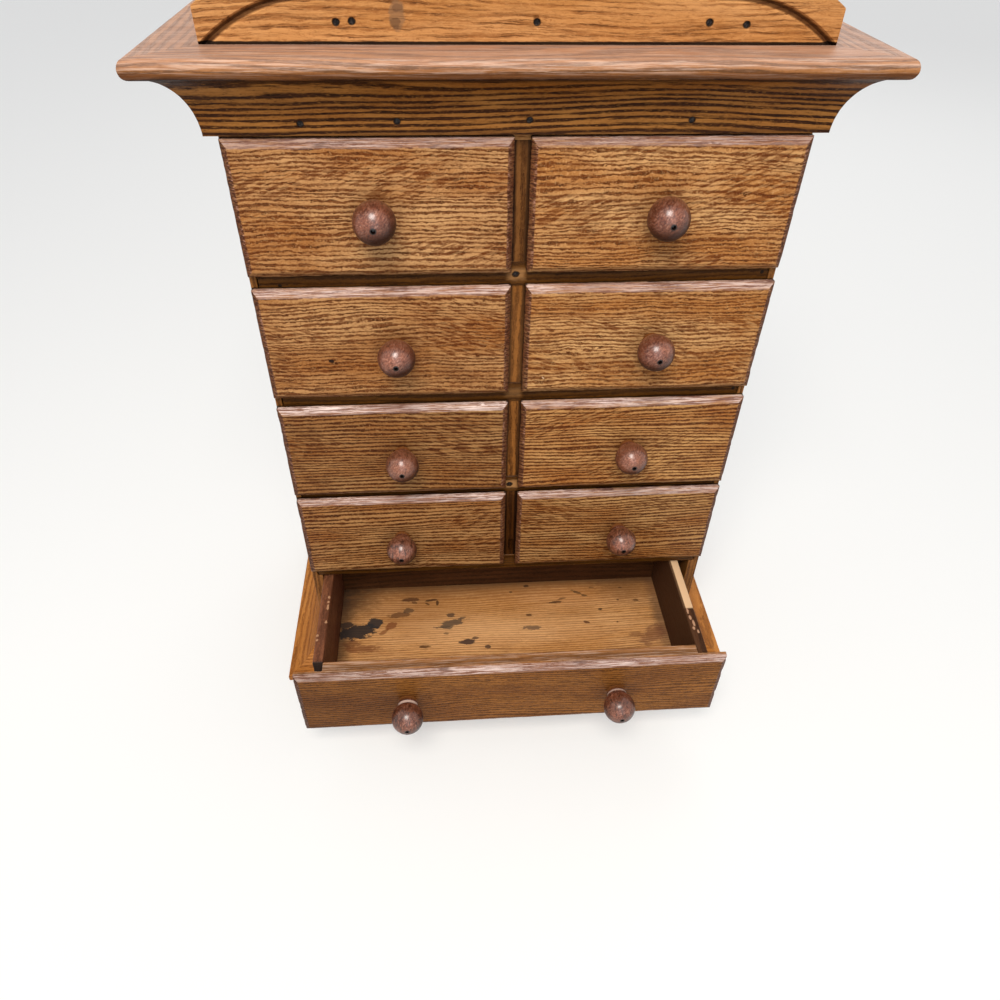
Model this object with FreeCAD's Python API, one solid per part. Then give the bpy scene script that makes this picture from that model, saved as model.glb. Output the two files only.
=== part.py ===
"""Small oak spice chest: eight small drawers over one full-width drawer.

All sizes are in millimetres.  +X is to the right, +Y runs from the drawer fronts
to the back, +Z is up.  The origin is on the floor, under the middle of the whole chest
with its bottom drawer drawn out as in the rest pose.
"""
import math
import os

import FreeCAD
import Part

# Case
CASE_WIDTH = 271.0
CASE_DEPTH = 128.0
SIDE_THICKNESS = 7.0
DADO_DEPTH = 3.5
SHELF_THICKNESS = 13.0
SHELF_END_GAP = 0.8
PANEL_THICKNESS = 8.0
FLOOR_THICKNESS = 12.0
BACK_THICKNESS = 6.0
BACK_RABBET = 3.5
BACK_BOTTOM = 6.0
DIVIDER_THICKNESS = 9.0
DIVIDER_SETBACK = 0.6
TOP_ABOVE_CROWN = 11.8

# Broken hollow in the divider's front edge
CHIP_MIDDLE = 0.7
CHIP_HALF_WIDTH = 1.6
CHIP_HEIGHT = 8.5
CHIP_DEPTH = 5.0
CHIP_ABOVE_SHELF = 5.0

# Crest board
CREST_THICKNESS = 9.0
CREST_FOOT_LAP = 2.4
CREST_ABOVE_TOP = 18.0
CREST_SHOULDER = 50.5
CREST_END_RADIUS = 88.0
CREST_RISE = 1.6
GROOVE_INSET = 12.4
GROOVE_WIDTH = 3.6
GROOVE_DEPTH = 2.0

# Crown and base mouldings
CROWN_HEIGHT = 34.2
CROWN_NOSE = 8.0
CROWN_NOSE_ROUND = 2.8
CROWN_PROJECTION = 26.5
CROWN_QUIRK = 2.4
BASE_TOP = 28.0
BASE_FILLET = 5.0
BASE_EDGE = 0.8
BASE_STEP_RISE = 0.5
BASE_STEP_BACK = 1.0
BASE_PROJECTION = 26.0
COVE_THIN_EDGE = 5.3

# Drawer fronts; the gaps lie under the small fronts, top row first
LIP_THICKNESS = 5.5
FRONT_THICKNESS = 14.0
BEVEL_WIDTH = 3.5
BEVEL_SIDE_WIDTH = 3.0
BEVEL_DEPTH = 1.9
SMALL_FRONT_HEIGHT = 65.0
SMALL_FRONT_GAPS = (6.9, 7.0, 4.4, 5.8)
WIDE_FRONT_HEIGHT = 57.0
FRONT_END_INSET = 0.6
FRONT_MIDDLE_LAP = 0.8
FRONT_LAP = 2.0
FRONT_FLOOR_LAP = 4.0

# Drawer boxes
SMALL_WALL = 5.0
SMALL_BOTTOM = 3.5
WIDE_WALL = 6.5
WIDE_BOTTOM = 4.0
WIDE_OPEN = 81.0
WIDE_NOTCH_DEPTH = 30.0

# Knobs: sideways shift of each small knob from the middle of its front,
# top row first, left knob then right knob
KNOB_RADIUS = 10.1
KNOB_NECK_RADIUS = 4.6
KNOB_COLLAR_RADIUS = 6.2
KNOB_COLLAR_THICKNESS = 0.9
KNOB_CENTRE = 12.6
KNOB_HOLE_RADIUS = 1.1
KNOB_HOLE_DEPTH = 2.4
TENON_RADIUS = 3.5
TENON_LENGTH = 10.0
KNOB_SHIFTS = ((0.3, -0.9), (5.2, 3.9), (3.3, 0.0), (-1.8, 2.2))
WIDE_KNOB_SPACING = 133.5

# Nails: (x, height above the top board's middle) in the crest board,
# (x, height above the crown's foot) in the crown
NAIL_RADIUS = 0.75
NAIL_TIP_RADIUS = 0.2
NAIL_HEAD_RADIUS = 1.3
NAIL_HEAD_HEIGHT = 0.7
NAIL_LENGTH = 13.0
NAIL_SINK = 0.8
CREST_NAILS = ((-78.4, 0.3), (-72.0, 0.6), (4.5, 0.5), (77.8, 0.6), (94.0, -0.2))
CROWN_NAILS = ((-98.0, 5.0), (-56.0, 5.9), (2.4, 6.2), (75.5, 5.9))
SHELF_NAIL_ROWS = (1, 3)
SHELF_NAIL_X = -1.2

# Clearances
SLIDE_GAP = 0.35
SMALL_SIDE_GAP = 0.7
SMALL_HEADROOM = 1.05
WIDE_GAP_LEFT = 0.5
WIDE_GAP_RIGHT = 7.5
WIDE_HEADROOM = 0.95
DRAWER_END_GAP = 6.85
FRONT_TO_CROWN = 1.4
FRONT_TO_BASE = 0.5
GLUE_GAP = 0.1
NAIL_GAP = 0.05
NAIL_END_GAP = 0.3
EASE = 0.5

# How far a cutting shape runs past what it cuts
OVERCUT = 5.0

# Positions across and along the chest, worked out from the sizes above
KNOB_REACH = KNOB_CENTRE + math.sqrt(KNOB_RADIUS ** 2 - KNOB_HOLE_RADIUS ** 2)
OVERALL_DEPTH = KNOB_REACH + WIDE_OPEN + LIP_THICKNESS + SLIDE_GAP + CASE_DEPTH
BACK_PLANE = OVERALL_DEPTH / 2
FRONT_PLANE = BACK_PLANE - CASE_DEPTH
HALF_WIDTH = CASE_WIDTH / 2
INNER_HALF = HALF_WIDTH - SIDE_THICKNESS
INNER_BACK = BACK_PLANE - BACK_THICKNESS
LIP_BACK = FRONT_PLANE - SLIDE_GAP
FACE_PLANE = LIP_BACK - LIP_THICKNESS
BLOCK_BACK = FACE_PLANE + FRONT_THICKNESS
DRAWER_BACK = INNER_BACK - DRAWER_END_GAP
MID_DEPTH = (FRONT_PLANE + INNER_BACK) / 2
DRAWER_MIDDLE = (LIP_BACK + DRAWER_BACK) / 2
FRONT_OUTER = HALF_WIDTH - FRONT_END_INSET
FRONT_INNER = DIVIDER_THICKNESS / 2 - FRONT_MIDDLE_LAP
WIDE_SHIFT = (WIDE_GAP_LEFT - WIDE_GAP_RIGHT) / 2
CREST_FLAT_HALF = HALF_WIDTH - CREST_SHOULDER

# Heights, stacked from the base up
WIDE_FRONT_BOTTOM = BASE_TOP + FRONT_TO_BASE
WIDE_FRONT_TOP = WIDE_FRONT_BOTTOM + WIDE_FRONT_HEIGHT
FLOOR_TOP = WIDE_FRONT_BOTTOM + FRONT_FLOOR_LAP
FLOOR_BOTTOM = FLOOR_TOP - FLOOR_THICKNESS
LOWEST_FRONT = WIDE_FRONT_TOP + SMALL_FRONT_GAPS[3]
THIRD_FRONT = LOWEST_FRONT + SMALL_FRONT_HEIGHT + SMALL_FRONT_GAPS[2]
SECOND_FRONT = THIRD_FRONT + SMALL_FRONT_HEIGHT + SMALL_FRONT_GAPS[1]
HIGHEST_FRONT = SECOND_FRONT + SMALL_FRONT_HEIGHT + SMALL_FRONT_GAPS[0]
SMALL_FRONT_BOTTOMS = (HIGHEST_FRONT, SECOND_FRONT, THIRD_FRONT, LOWEST_FRONT)
SMALL_FRONT_TOPS = tuple(bottom + SMALL_FRONT_HEIGHT for bottom in SMALL_FRONT_BOTTOMS)
SHELF_BOTTOMS = tuple(top - FRONT_LAP for top in SMALL_FRONT_TOPS[1:] + (WIDE_FRONT_TOP,))
SHELF_TOPS = tuple(bottom + SHELF_THICKNESS for bottom in SHELF_BOTTOMS)
CREST_BOTTOM = SMALL_FRONT_TOPS[0] - CREST_FOOT_LAP
CROWN_BOTTOM = SMALL_FRONT_TOPS[0] + FRONT_TO_CROWN
CROWN_TOP = CROWN_BOTTOM + CROWN_HEIGHT
CASE_TOP = CROWN_TOP + TOP_ABOVE_CROWN
CREST_TOP = CASE_TOP + CREST_ABOVE_TOP
TOP_UNDERSIDE = CASE_TOP - PANEL_THICKNESS
OPENING_TOPS = (CREST_BOTTOM,) + SHELF_BOTTOMS[:3]
LOWEST_OPENING = min(top - bottom for top, bottom in zip(OPENING_TOPS, SHELF_TOPS))
SMALL_BOX_HEIGHT = LOWEST_OPENING - SLIDE_GAP - SMALL_HEADROOM
WIDE_BOX_HEIGHT = SHELF_BOTTOMS[3] - FLOOR_TOP - SLIDE_GAP - WIDE_HEADROOM
ROWS = (1, 2, 3, 4)
SIDES = (("left", -1), ("right", 1))


def vector(x, y, z):
    """A FreeCAD vector."""
    return FreeCAD.Vector(x, y, z)


def block(x_low, x_high, y_low, y_high, z_low, z_high):
    """A plain box between six planes."""
    corner = vector(x_low, y_low, z_low)
    return Part.makeBox(x_high - x_low, y_high - y_low, z_high - z_low, corner)


def joined(shapes):
    """One solid from touching or overlapping shapes, without inner seams."""
    result = shapes[0]
    for shape in shapes[1:]:
        result = result.fuse(shape)
    return result.removeSplitter()


def cut_all(shape, tools):
    """A shape with every tool taken away from it."""
    for tool in tools:
        shape = shape.cut(tool)
    return shape


def eased(shape, keep, size=EASE):
    """Chamfer the straight edges whose middle point passes the keep test."""
    chosen = []
    for edge in shape.Edges:
        middle = edge.valueAt((edge.FirstParameter + edge.LastParameter) / 2)
        if isinstance(edge.Curve, Part.Line) and keep(middle):
            chosen.append(edge)
    if not chosen:
        return shape
    return shape.makeChamfer(size, chosen)


def near(value, target):
    """True when two lengths agree closely."""
    return abs(value - target) < 0.01


def cylinder_along_y(x, z, y_low, y_high, radius):
    """A round bar along Y."""
    return Part.makeCylinder(radius, y_high - y_low, vector(x, y_low, z), vector(0, 1, 0))


# Nails

def nail(x, z, surface):
    """A sunk brad driven along +Y into a face that lies at y = surface."""
    head_front = surface + NAIL_SINK
    head_back = head_front + NAIL_HEAD_HEIGHT
    head = cylinder_along_y(x, z, head_front, head_back, NAIL_HEAD_RADIUS)
    shank_end = head_front + NAIL_LENGTH - 2 * NAIL_RADIUS
    shank = cylinder_along_y(x, z, head_back, shank_end, NAIL_RADIUS)
    tip = Part.makeCone(NAIL_RADIUS, NAIL_TIP_RADIUS, 2 * NAIL_RADIUS, vector(x, shank_end, z),
                        vector(0, 1, 0))
    return joined([head, shank, tip])


def nail_hole(x, z, surface):
    """The hole for a sunk brad, with the seat for its head."""
    head_back = surface + NAIL_SINK + NAIL_HEAD_HEIGHT
    head = cylinder_along_y(x, z, surface - OVERCUT, head_back, NAIL_HEAD_RADIUS + NAIL_GAP)
    shank_end = surface + NAIL_SINK + NAIL_LENGTH + NAIL_END_GAP
    shank = cylinder_along_y(x, z, surface - OVERCUT, shank_end, NAIL_RADIUS + NAIL_GAP)
    return head.fuse(shank)


def crown_surface(z):
    """The y of the crown's cove at a height."""
    return FRONT_PLANE - cove_offset(z - CROWN_BOTTOM, CROWN_PROJECTION, crown_cove_height())


def nail_places():
    """Every nail as (x, z, y of the face it is driven into)."""
    board_middle = CASE_TOP - PANEL_THICKNESS / 2
    places = [(x, board_middle + rise, FRONT_PLANE) for x, rise in CREST_NAILS]
    places += [(x, CROWN_BOTTOM + rise, crown_surface(CROWN_BOTTOM + rise)) for x, rise in CROWN_NAILS]
    for row in SHELF_NAIL_ROWS:
        middle = SHELF_BOTTOMS[row - 1] + SHELF_THICKNESS / 2
        places.append((SHELF_NAIL_X, middle, FRONT_PLANE))
    return places


def nails():
    """All sunk brads, each a solid of its own."""
    return Part.makeCompound([nail(x, z, surface) for x, z, surface in nail_places()])


def nail_holes():
    """The holes of all brads."""
    return [nail_hole(x, z, surface) for x, z, surface in nail_places()]


# Mouldings

def crown_cove_height():
    """Height of the crown's hollow part."""
    return CROWN_TOP - CROWN_NOSE - CROWN_BOTTOM


def cove_offset(rise, projection, height):
    """How far an elliptic cove stands out, a given rise from its thin edge."""
    share = min(1.0, max(0.0, rise / height))
    return COVE_THIN_EDGE + (projection - COVE_THIN_EDGE) * (1 - math.sqrt(1 - share * share))


def cove_points(projection, height, steps=14):
    """Points (offset, rise) along a cove, from its thin edge to its lip."""
    points = []
    for step in range(steps + 1):
        angle = math.pi / 2 * step / steps
        rise = height * math.sin(angle)
        points.append((COVE_THIN_EDGE + (projection - COVE_THIN_EDGE) * (1 - math.cos(angle)), rise))
    return points


def crown_profile():
    """Crown outline as (offset, z): cove below, rounded nose on top."""
    cove = cove_points(CROWN_PROJECTION - CROWN_QUIRK, crown_cove_height())
    points = [(0.0, CROWN_BOTTOM)]
    points += [(offset, CROWN_BOTTOM + rise) for offset, rise in cove]
    centre = CROWN_TOP - CROWN_NOSE / 2
    for step in range(0, 9):
        angle = math.pi * (step / 8.0 - 0.5)
        offset = CROWN_PROJECTION - CROWN_NOSE_ROUND * (1 - math.cos(angle))
        points.append((offset, centre + CROWN_NOSE / 2 * math.sin(angle)))
    points.append((0.0, CROWN_TOP))
    return points


def base_profile():
    """Base outline as (offset, z): upright fillet below, cove above it."""
    height = BASE_TOP - BASE_FILLET
    points = [(0.0, 0.0), (BASE_PROJECTION - BASE_EDGE, 0.0), (BASE_PROJECTION, BASE_EDGE)]
    points.append((BASE_PROJECTION, BASE_FILLET - BASE_STEP_RISE))
    cove = cove_points(BASE_PROJECTION - BASE_STEP_BACK, height)
    points += [(offset, BASE_TOP - rise) for offset, rise in reversed(cove)]
    points.append((0.0, BASE_TOP))
    return points


def profile_face(points, place):
    """A flat face from (offset, z) points; place turns each one into a vector."""
    corners = [place(offset, height) for offset, height in points]
    clean = [corners[0]]
    for corner in corners[1:]:
        if corner.distanceToPoint(clean[-1]) > 0.02:
            clean.append(corner)
    return Part.Face(Part.makePolygon(clean + [clean[0]]))


def mitre_wedge(side, projection, z_low, z_high):
    """The space on the side moulding's half of a front corner's mitre."""
    reach = projection + 2 * OVERCUT
    corner = side * HALF_WIDTH
    start = vector(corner - side * reach, FRONT_PLANE + reach, z_low)
    middle = vector(corner + side * reach, FRONT_PLANE - reach, z_low)
    far = vector(corner + side * reach, FRONT_PLANE + reach, z_low)
    wedge = Part.Face(Part.makePolygon([start, middle, far, start]))
    return wedge.extrude(vector(0, 0, z_high - z_low))


def front_moulding(points, projection):
    """The front length of a moulding, mitred at both ends."""
    reach = HALF_WIDTH + projection
    face = profile_face(points, lambda offset, z: vector(-reach, FRONT_PLANE - offset, z))
    length = face.extrude(vector(2 * reach, 0, 0))
    z_low = points[0][1] - OVERCUT
    z_high = points[-1][1] + OVERCUT
    for _, side in SIDES:
        length = length.cut(mitre_wedge(side, projection, z_low, z_high))
    return length


def side_moulding(points, projection, side):
    """A side length of a moulding, mitred at the front and square at the back."""
    start = FRONT_PLANE - projection
    face = profile_face(points, lambda offset, z: vector(side * (HALF_WIDTH + offset), start, z))
    length = face.extrude(vector(0, BACK_PLANE - start, 0))
    z_low = points[0][1] - OVERCUT
    z_high = points[-1][1] + OVERCUT
    keep = mitre_wedge(side, projection, z_low, z_high)
    reach = HALF_WIDTH + projection + OVERCUT
    rear = block(-reach, reach, FRONT_PLANE, BACK_PLANE, z_low, z_high)
    return length.common(keep.fuse(rear))


# Case

def case_side(side):
    """One side board with its dados, back rabbet and crest notch."""
    inner = side * INNER_HALF
    outer = side * HALF_WIDTH
    board = block(min(inner, outer), max(inner, outer), FRONT_PLANE, BACK_PLANE, 0.0, CASE_TOP)
    dado = side * (INNER_HALF + DADO_DEPTH)
    x_low = min(side * (INNER_HALF - 1), dado)
    x_high = max(side * (INNER_HALF - 1), dado)
    tools = []
    for bottom in SHELF_BOTTOMS:
        tools.append(block(x_low, x_high, FRONT_PLANE - 1, INNER_BACK, bottom, bottom + SHELF_THICKNESS))
    tools.append(block(x_low, x_high, FRONT_PLANE - 1, INNER_BACK, FLOOR_BOTTOM, FLOOR_TOP))
    rabbet = side * (INNER_HALF + BACK_RABBET)
    tools.append(block(min(side * (INNER_HALF - 1), rabbet), max(side * (INNER_HALF - 1), rabbet),
                       INNER_BACK, BACK_PLANE + 1, BACK_BOTTOM, CASE_TOP + 1))
    tools.append(block(-HALF_WIDTH - 1, HALF_WIDTH + 1, FRONT_PLANE - 1, FRONT_PLANE + CREST_THICKNESS,
                       CREST_BOTTOM, CASE_TOP + 1))
    board = eased(board, lambda point: near(point.x, outer) and near(point.y, FRONT_PLANE), 0.4)
    board = eased(board, lambda point: near(point.x, outer) and near(point.z, CASE_TOP), 0.6)
    return cut_all(board, tools)


def shelf(row):
    """A shelf under a row of small drawers; the upper three are slotted for the divider."""
    bottom = SHELF_BOTTOMS[row - 1]
    reach = INNER_HALF + DADO_DEPTH - SHELF_END_GAP
    board = block(-reach, reach, FRONT_PLANE, INNER_BACK, bottom, bottom + SHELF_THICKNESS)
    board = eased(board, lambda point: near(point.y, FRONT_PLANE) and abs(point.x) < 1, 0.5)
    if row < 4:
        half = DIVIDER_THICKNESS / 2
        board = board.cut(block(-half, half, MID_DEPTH, INNER_BACK + 1, bottom - 1,
                                bottom + SHELF_THICKNESS + 1))
    if row in SHELF_NAIL_ROWS:
        board = cut_all(board, nail_holes())
    return board


def divider():
    """The upright middle board, slotted at the front to cross the upper three shelves."""
    half = DIVIDER_THICKNESS / 2
    front = FRONT_PLANE + DIVIDER_SETBACK
    board = block(-half, half, front, INNER_BACK, SHELF_TOPS[3], TOP_UNDERSIDE)
    tools = []
    for row in (1, 2, 3):
        bottom = SHELF_BOTTOMS[row - 1]
        tools.append(block(-half - 1, half + 1, front - 1, MID_DEPTH, bottom, bottom + SHELF_THICKNESS))
    tools.append(block(-half - 1, half + 1, front - 1, FRONT_PLANE + CREST_THICKNESS,
                       CREST_BOTTOM, TOP_UNDERSIDE + 1))
    tools.append(chip())
    return cut_all(board, tools)


def chip():
    """The small broken hollow in the divider's front edge, in the lowest row."""
    low = SHELF_TOPS[3] + CHIP_ABOVE_SHELF
    high = low + CHIP_HEIGHT
    front = FRONT_PLANE - OVERCUT
    back = FRONT_PLANE + CHIP_DEPTH
    body = block(CHIP_MIDDLE - CHIP_HALF_WIDTH, CHIP_MIDDLE + CHIP_HALF_WIDTH, front, back, low, high)
    lower = cylinder_along_y(CHIP_MIDDLE, low, front, back, CHIP_HALF_WIDTH)
    upper = cylinder_along_y(CHIP_MIDDLE, high, front, back, CHIP_HALF_WIDTH)
    return joined([body, lower, upper])


def top_panel():
    """The top board, between the sides and behind the crest board."""
    front = FRONT_PLANE + CREST_THICKNESS
    board = block(-INNER_HALF, INNER_HALF, front, INNER_BACK, TOP_UNDERSIDE, CASE_TOP)
    return cut_all(board, nail_holes())


def bottom_panel():
    """The bottom board, housed in the sides."""
    reach = INNER_HALF + DADO_DEPTH
    board = block(-reach, reach, FRONT_PLANE, INNER_BACK, FLOOR_BOTTOM, FLOOR_TOP)
    return eased(board, lambda point: near(point.y, FRONT_PLANE) and near(point.z, FLOOR_TOP))


def back_panel():
    """The back board, let into the sides' rabbets."""
    reach = INNER_HALF + BACK_RABBET
    board = block(-reach, reach, INNER_BACK, BACK_PLANE, BACK_BOTTOM, CASE_TOP)
    return eased(board, lambda point: near(point.y, BACK_PLANE) and near(point.z, CASE_TOP))


def arch_height(x, inset=0.0):
    """Height of the flattened arch at x, an inset below the crest's top edge."""
    radius = CREST_END_RADIUS - inset
    beyond = max(0.0, abs(x) - CREST_FLAT_HALF)
    drop = radius - math.sqrt(radius * radius - beyond * beyond)
    middle = CREST_RISE * (1 - min(1.0, (x / CREST_FLAT_HALF) ** 2))
    return CREST_TOP - inset - drop + middle


def arch_edges(inset, half, y):
    """The flattened arch as three tangent arcs in the plane y."""
    flat = CREST_FLAT_HALF
    mid = (half + flat) / 2
    points = [(-half, -mid, -flat), (-flat, 0.0, flat), (flat, mid, half)]
    edges = []
    for triple in points:
        first, second, third = [vector(x, y, arch_height(x, inset)) for x in triple]
        edges.append(Part.Arc(first, second, third).toShape())
    return edges


def groove():
    """The V-shaped line cut along the crest, as a solid to take away."""
    half = HALF_WIDTH + 2.0
    path = Part.Wire(arch_edges(GROOVE_INSET, half, FRONT_PLANE))
    start = path.Edges[0].valueAt(path.Edges[0].FirstParameter)
    along = path.Edges[0].tangentAt(path.Edges[0].FirstParameter)
    across = along.cross(vector(0, 1, 0))
    across.normalize()
    width = across * (GROOVE_WIDTH / 2)
    lift = vector(0, -0.6, 0)
    scale = 1.0 + 0.6 / GROOVE_DEPTH
    corners = [start + width * scale + lift, start + vector(0, GROOVE_DEPTH, 0), start - width * scale + lift]
    profile = Part.makePolygon(corners + [corners[0]])
    return path.makePipeShell([profile], True, False)


def crest_board():
    """The front board above the drawers, with its arched top and cut line."""
    left = vector(-HALF_WIDTH, FRONT_PLANE, CREST_BOTTOM)
    right = vector(HALF_WIDTH, FRONT_PLANE, CREST_BOTTOM)
    arch = arch_edges(0.0, HALF_WIDTH, FRONT_PLANE)
    left_top = vector(-HALF_WIDTH, FRONT_PLANE, arch_height(HALF_WIDTH))
    right_top = vector(HALF_WIDTH, FRONT_PLANE, arch_height(HALF_WIDTH))
    edges = [Part.makeLine(left, left_top)] + arch
    edges += [Part.makeLine(right_top, right), Part.makeLine(right, left)]
    face = Part.Face(Part.Wire(Part.__sortEdges__(edges)))
    board = face.extrude(vector(0, CREST_THICKNESS, 0))
    tools = [groove()] + nail_holes()
    return cut_all(board, tools)


# Drawers

def bevelled_lip(x_low, x_high, z_low, z_high):
    """The overlapping plate of a drawer front, bevelled all round its face."""
    shoulder = FACE_PLANE + BEVEL_DEPTH
    plate = block(x_low, x_high, shoulder, LIP_BACK, z_low, z_high)
    outer = Part.makePolygon([vector(x_low, shoulder, z_low), vector(x_high, shoulder, z_low),
                              vector(x_high, shoulder, z_high), vector(x_low, shoulder, z_high),
                              vector(x_low, shoulder, z_low)])
    left = x_low + BEVEL_SIDE_WIDTH
    right = x_high - BEVEL_SIDE_WIDTH
    low = z_low + BEVEL_WIDTH
    high = z_high - BEVEL_WIDTH
    inner = Part.makePolygon([vector(left, FACE_PLANE, low), vector(right, FACE_PLANE, low),
                              vector(right, FACE_PLANE, high), vector(left, FACE_PLANE, high),
                              vector(left, FACE_PLANE, low)])
    bevel = Part.makeLoft([outer, inner], True, True)
    return joined([plate, bevel])


def knob_socket(x, z):
    """The round hole for a knob's tenon."""
    end = FACE_PLANE + TENON_LENGTH + GLUE_GAP
    return cylinder_along_y(x, z, FACE_PLANE - OVERCUT, end, TENON_RADIUS + GLUE_GAP)


def knob(x, z):
    """A turned ball knob with a neck, a tenon and a small centre hole."""
    ball_start = math.asin(KNOB_NECK_RADIUS / KNOB_RADIUS)
    ball_near = KNOB_CENTRE - KNOB_RADIUS * math.cos(ball_start)
    waist = vector(KNOB_RADIUS, 0, KNOB_CENTRE)
    points = [vector(0, 0, -TENON_LENGTH), vector(TENON_RADIUS, 0, -TENON_LENGTH),
              vector(TENON_RADIUS, 0, 0), vector(KNOB_COLLAR_RADIUS, 0, 0),
              vector(KNOB_COLLAR_RADIUS, 0, KNOB_COLLAR_THICKNESS),
              vector(KNOB_NECK_RADIUS, 0, KNOB_COLLAR_THICKNESS + 1.0),
              vector(KNOB_NECK_RADIUS, 0, ball_near)]
    edges = [Part.makeLine(points[i], points[i + 1]) for i in range(len(points) - 1)]
    edges.append(Part.Arc(points[-1], waist, vector(KNOB_HOLE_RADIUS, 0, KNOB_REACH)).toShape())
    floor = KNOB_REACH - KNOB_HOLE_DEPTH
    edges.append(Part.makeLine(vector(KNOB_HOLE_RADIUS, 0, KNOB_REACH), vector(KNOB_HOLE_RADIUS, 0, floor)))
    edges.append(Part.makeLine(vector(KNOB_HOLE_RADIUS, 0, floor), vector(0, 0, floor - 0.6)))
    edges.append(Part.makeLine(vector(0, 0, floor - 0.6), points[0]))
    turned = Part.Face(Part.Wire(edges)).revolve(vector(0, 0, 0), vector(0, 0, 1), 360)
    turned = Part.Solid(turned) if turned.ShapeType != "Solid" else turned
    turned.rotate(vector(0, 0, 0), vector(1, 0, 0), 90)
    turned.translate(vector(x, FACE_PLANE, z))
    return turned


def drawer_front(lip, box, wall, knobs):
    """A lipped drawer front: bevelled plate, block between the sides, knob sockets."""
    x_low, x_high, z_low, z_high = lip
    box_left, box_right, box_low, box_high = box
    plate = bevelled_lip(x_low, x_high, z_low, z_high)
    inner = block(box_left + wall, box_right - wall, LIP_BACK, BLOCK_BACK, box_low, box_high)
    return cut_all(joined([plate, inner]), [knob_socket(x, z) for x, z in knobs])


def drawer_side(x_low, x_high, z_low, z_high):
    """One side of a drawer box, from the lip to the back."""
    board = block(x_low, x_high, LIP_BACK, DRAWER_BACK, z_low, z_high)
    return eased(board, lambda point: near(point.z, z_high) and near(point.y, DRAWER_MIDDLE))


def drawer_back(box, wall, bottom):
    """The back of a drawer box, between its sides and on its bottom board."""
    left, right, low, high = box
    board = block(left + wall, right - wall, DRAWER_BACK - wall, DRAWER_BACK, low + bottom, high)
    middle = (left + right) / 2
    return eased(board, lambda point: near(point.z, high) and abs(point.x - middle) < 5)


def drawer_bottom(box, wall, bottom):
    """The bottom board of a drawer, between its sides."""
    left, right, low, _ = box
    return block(left + wall, right - wall, BLOCK_BACK, DRAWER_BACK, low, low + bottom)


def small_lip(row, side):
    """The outline (x low, x high, z low, z high) of a small drawer's front."""
    ends = sorted((side * FRONT_OUTER, side * FRONT_INNER))
    low = SMALL_FRONT_BOTTOMS[row - 1]
    return ends[0], ends[1], low, low + SMALL_FRONT_HEIGHT


def small_box(row, side):
    """The outline of a small drawer's box, in the middle of its opening."""
    inner = DIVIDER_THICKNESS / 2 + SMALL_SIDE_GAP
    outer = INNER_HALF - SMALL_SIDE_GAP
    ends = sorted((side * outer, side * inner))
    low = SHELF_TOPS[row - 1] + SLIDE_GAP
    return ends[0], ends[1], low, low + SMALL_BOX_HEIGHT


def small_drawer(row, name, side):
    """The four nodes of one small drawer."""
    lip = small_lip(row, side)
    box = small_box(row, side)
    shift = KNOB_SHIFTS[row - 1][0 if side < 0 else 1]
    place = ((lip[0] + lip[1]) / 2 + shift, (lip[2] + lip[3]) / 2)
    left, right, low, high = box
    walls = [drawer_side(left, left + SMALL_WALL, low, high),
             drawer_side(right - SMALL_WALL, right, low, high),
             drawer_back(box, SMALL_WALL, SMALL_BOTTOM)]
    stem = "row%d_%s_" % (row, name)
    return {
        stem + "front": drawer_front(lip, box, SMALL_WALL, [place]),
        stem + "walls": Part.makeCompound(walls),
        stem + "bottom": drawer_bottom(box, SMALL_WALL, SMALL_BOTTOM),
        stem + "knob": knob(*place),
    }


def wide_drawer():
    """The seven nodes of the bottom drawer, built shut and then drawn out."""
    lip = (WIDE_SHIFT - FRONT_OUTER, WIDE_SHIFT + FRONT_OUTER, WIDE_FRONT_BOTTOM, WIDE_FRONT_TOP)
    low = FLOOR_TOP + SLIDE_GAP
    box = (WIDE_GAP_LEFT - INNER_HALF, INNER_HALF - WIDE_GAP_RIGHT, low, low + WIDE_BOX_HEIGHT)
    left, right, _, high = box
    height = (WIDE_FRONT_BOTTOM + WIDE_FRONT_TOP) / 2
    places = [(WIDE_SHIFT + side * WIDE_KNOB_SPACING / 2, height) for _, side in SIDES]
    left_side = drawer_side(left, left + WIDE_WALL, low, high)
    notch = block(left - 1, left + WIDE_WALL + 1, LIP_BACK - 1, BLOCK_BACK, high - WIDE_NOTCH_DEPTH, high + 1)
    nodes = {
        "wide_front": drawer_front(lip, box, WIDE_WALL, places),
        "wide_side_left": left_side.cut(notch),
        "wide_side_right": drawer_side(right - WIDE_WALL, right, low, high),
        "wide_back": drawer_back(box, WIDE_WALL, WIDE_BOTTOM),
        "wide_bottom": drawer_bottom(box, WIDE_WALL, WIDE_BOTTOM),
        "wide_knob_left": knob(*places[0]),
        "wide_knob_right": knob(*places[1]),
    }
    for shape in nodes.values():
        shape.translate(vector(0, -WIDE_OPEN, 0))
    return nodes


# Whole chest

def case_nodes():
    """Every node of the fixed case."""
    crown = crown_profile()
    base = base_profile()
    nodes = {
        "case_top": top_panel(),
        "case_bottom": bottom_panel(),
        "case_back": back_panel(),
        "divider": divider(),
        "crest_board": crest_board(),
        "crown_front": cut_all(front_moulding(crown, CROWN_PROJECTION), nail_holes()),
        "base_front": front_moulding(base, BASE_PROJECTION),
        "nails": nails(),
    }
    for name, side in SIDES:
        nodes["case_side_" + name] = case_side(side)
        nodes["crown_" + name] = side_moulding(crown, CROWN_PROJECTION, side)
        nodes["base_" + name] = side_moulding(base, BASE_PROJECTION, side)
    for row in ROWS:
        nodes["shelf_%d" % row] = shelf(row)
    return nodes


def all_nodes():
    """Every node of the chest by name."""
    nodes = case_nodes()
    for row in ROWS:
        for name, side in SIDES:
            nodes.update(small_drawer(row, name, side))
    nodes.update(wide_drawer())
    return nodes


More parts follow.
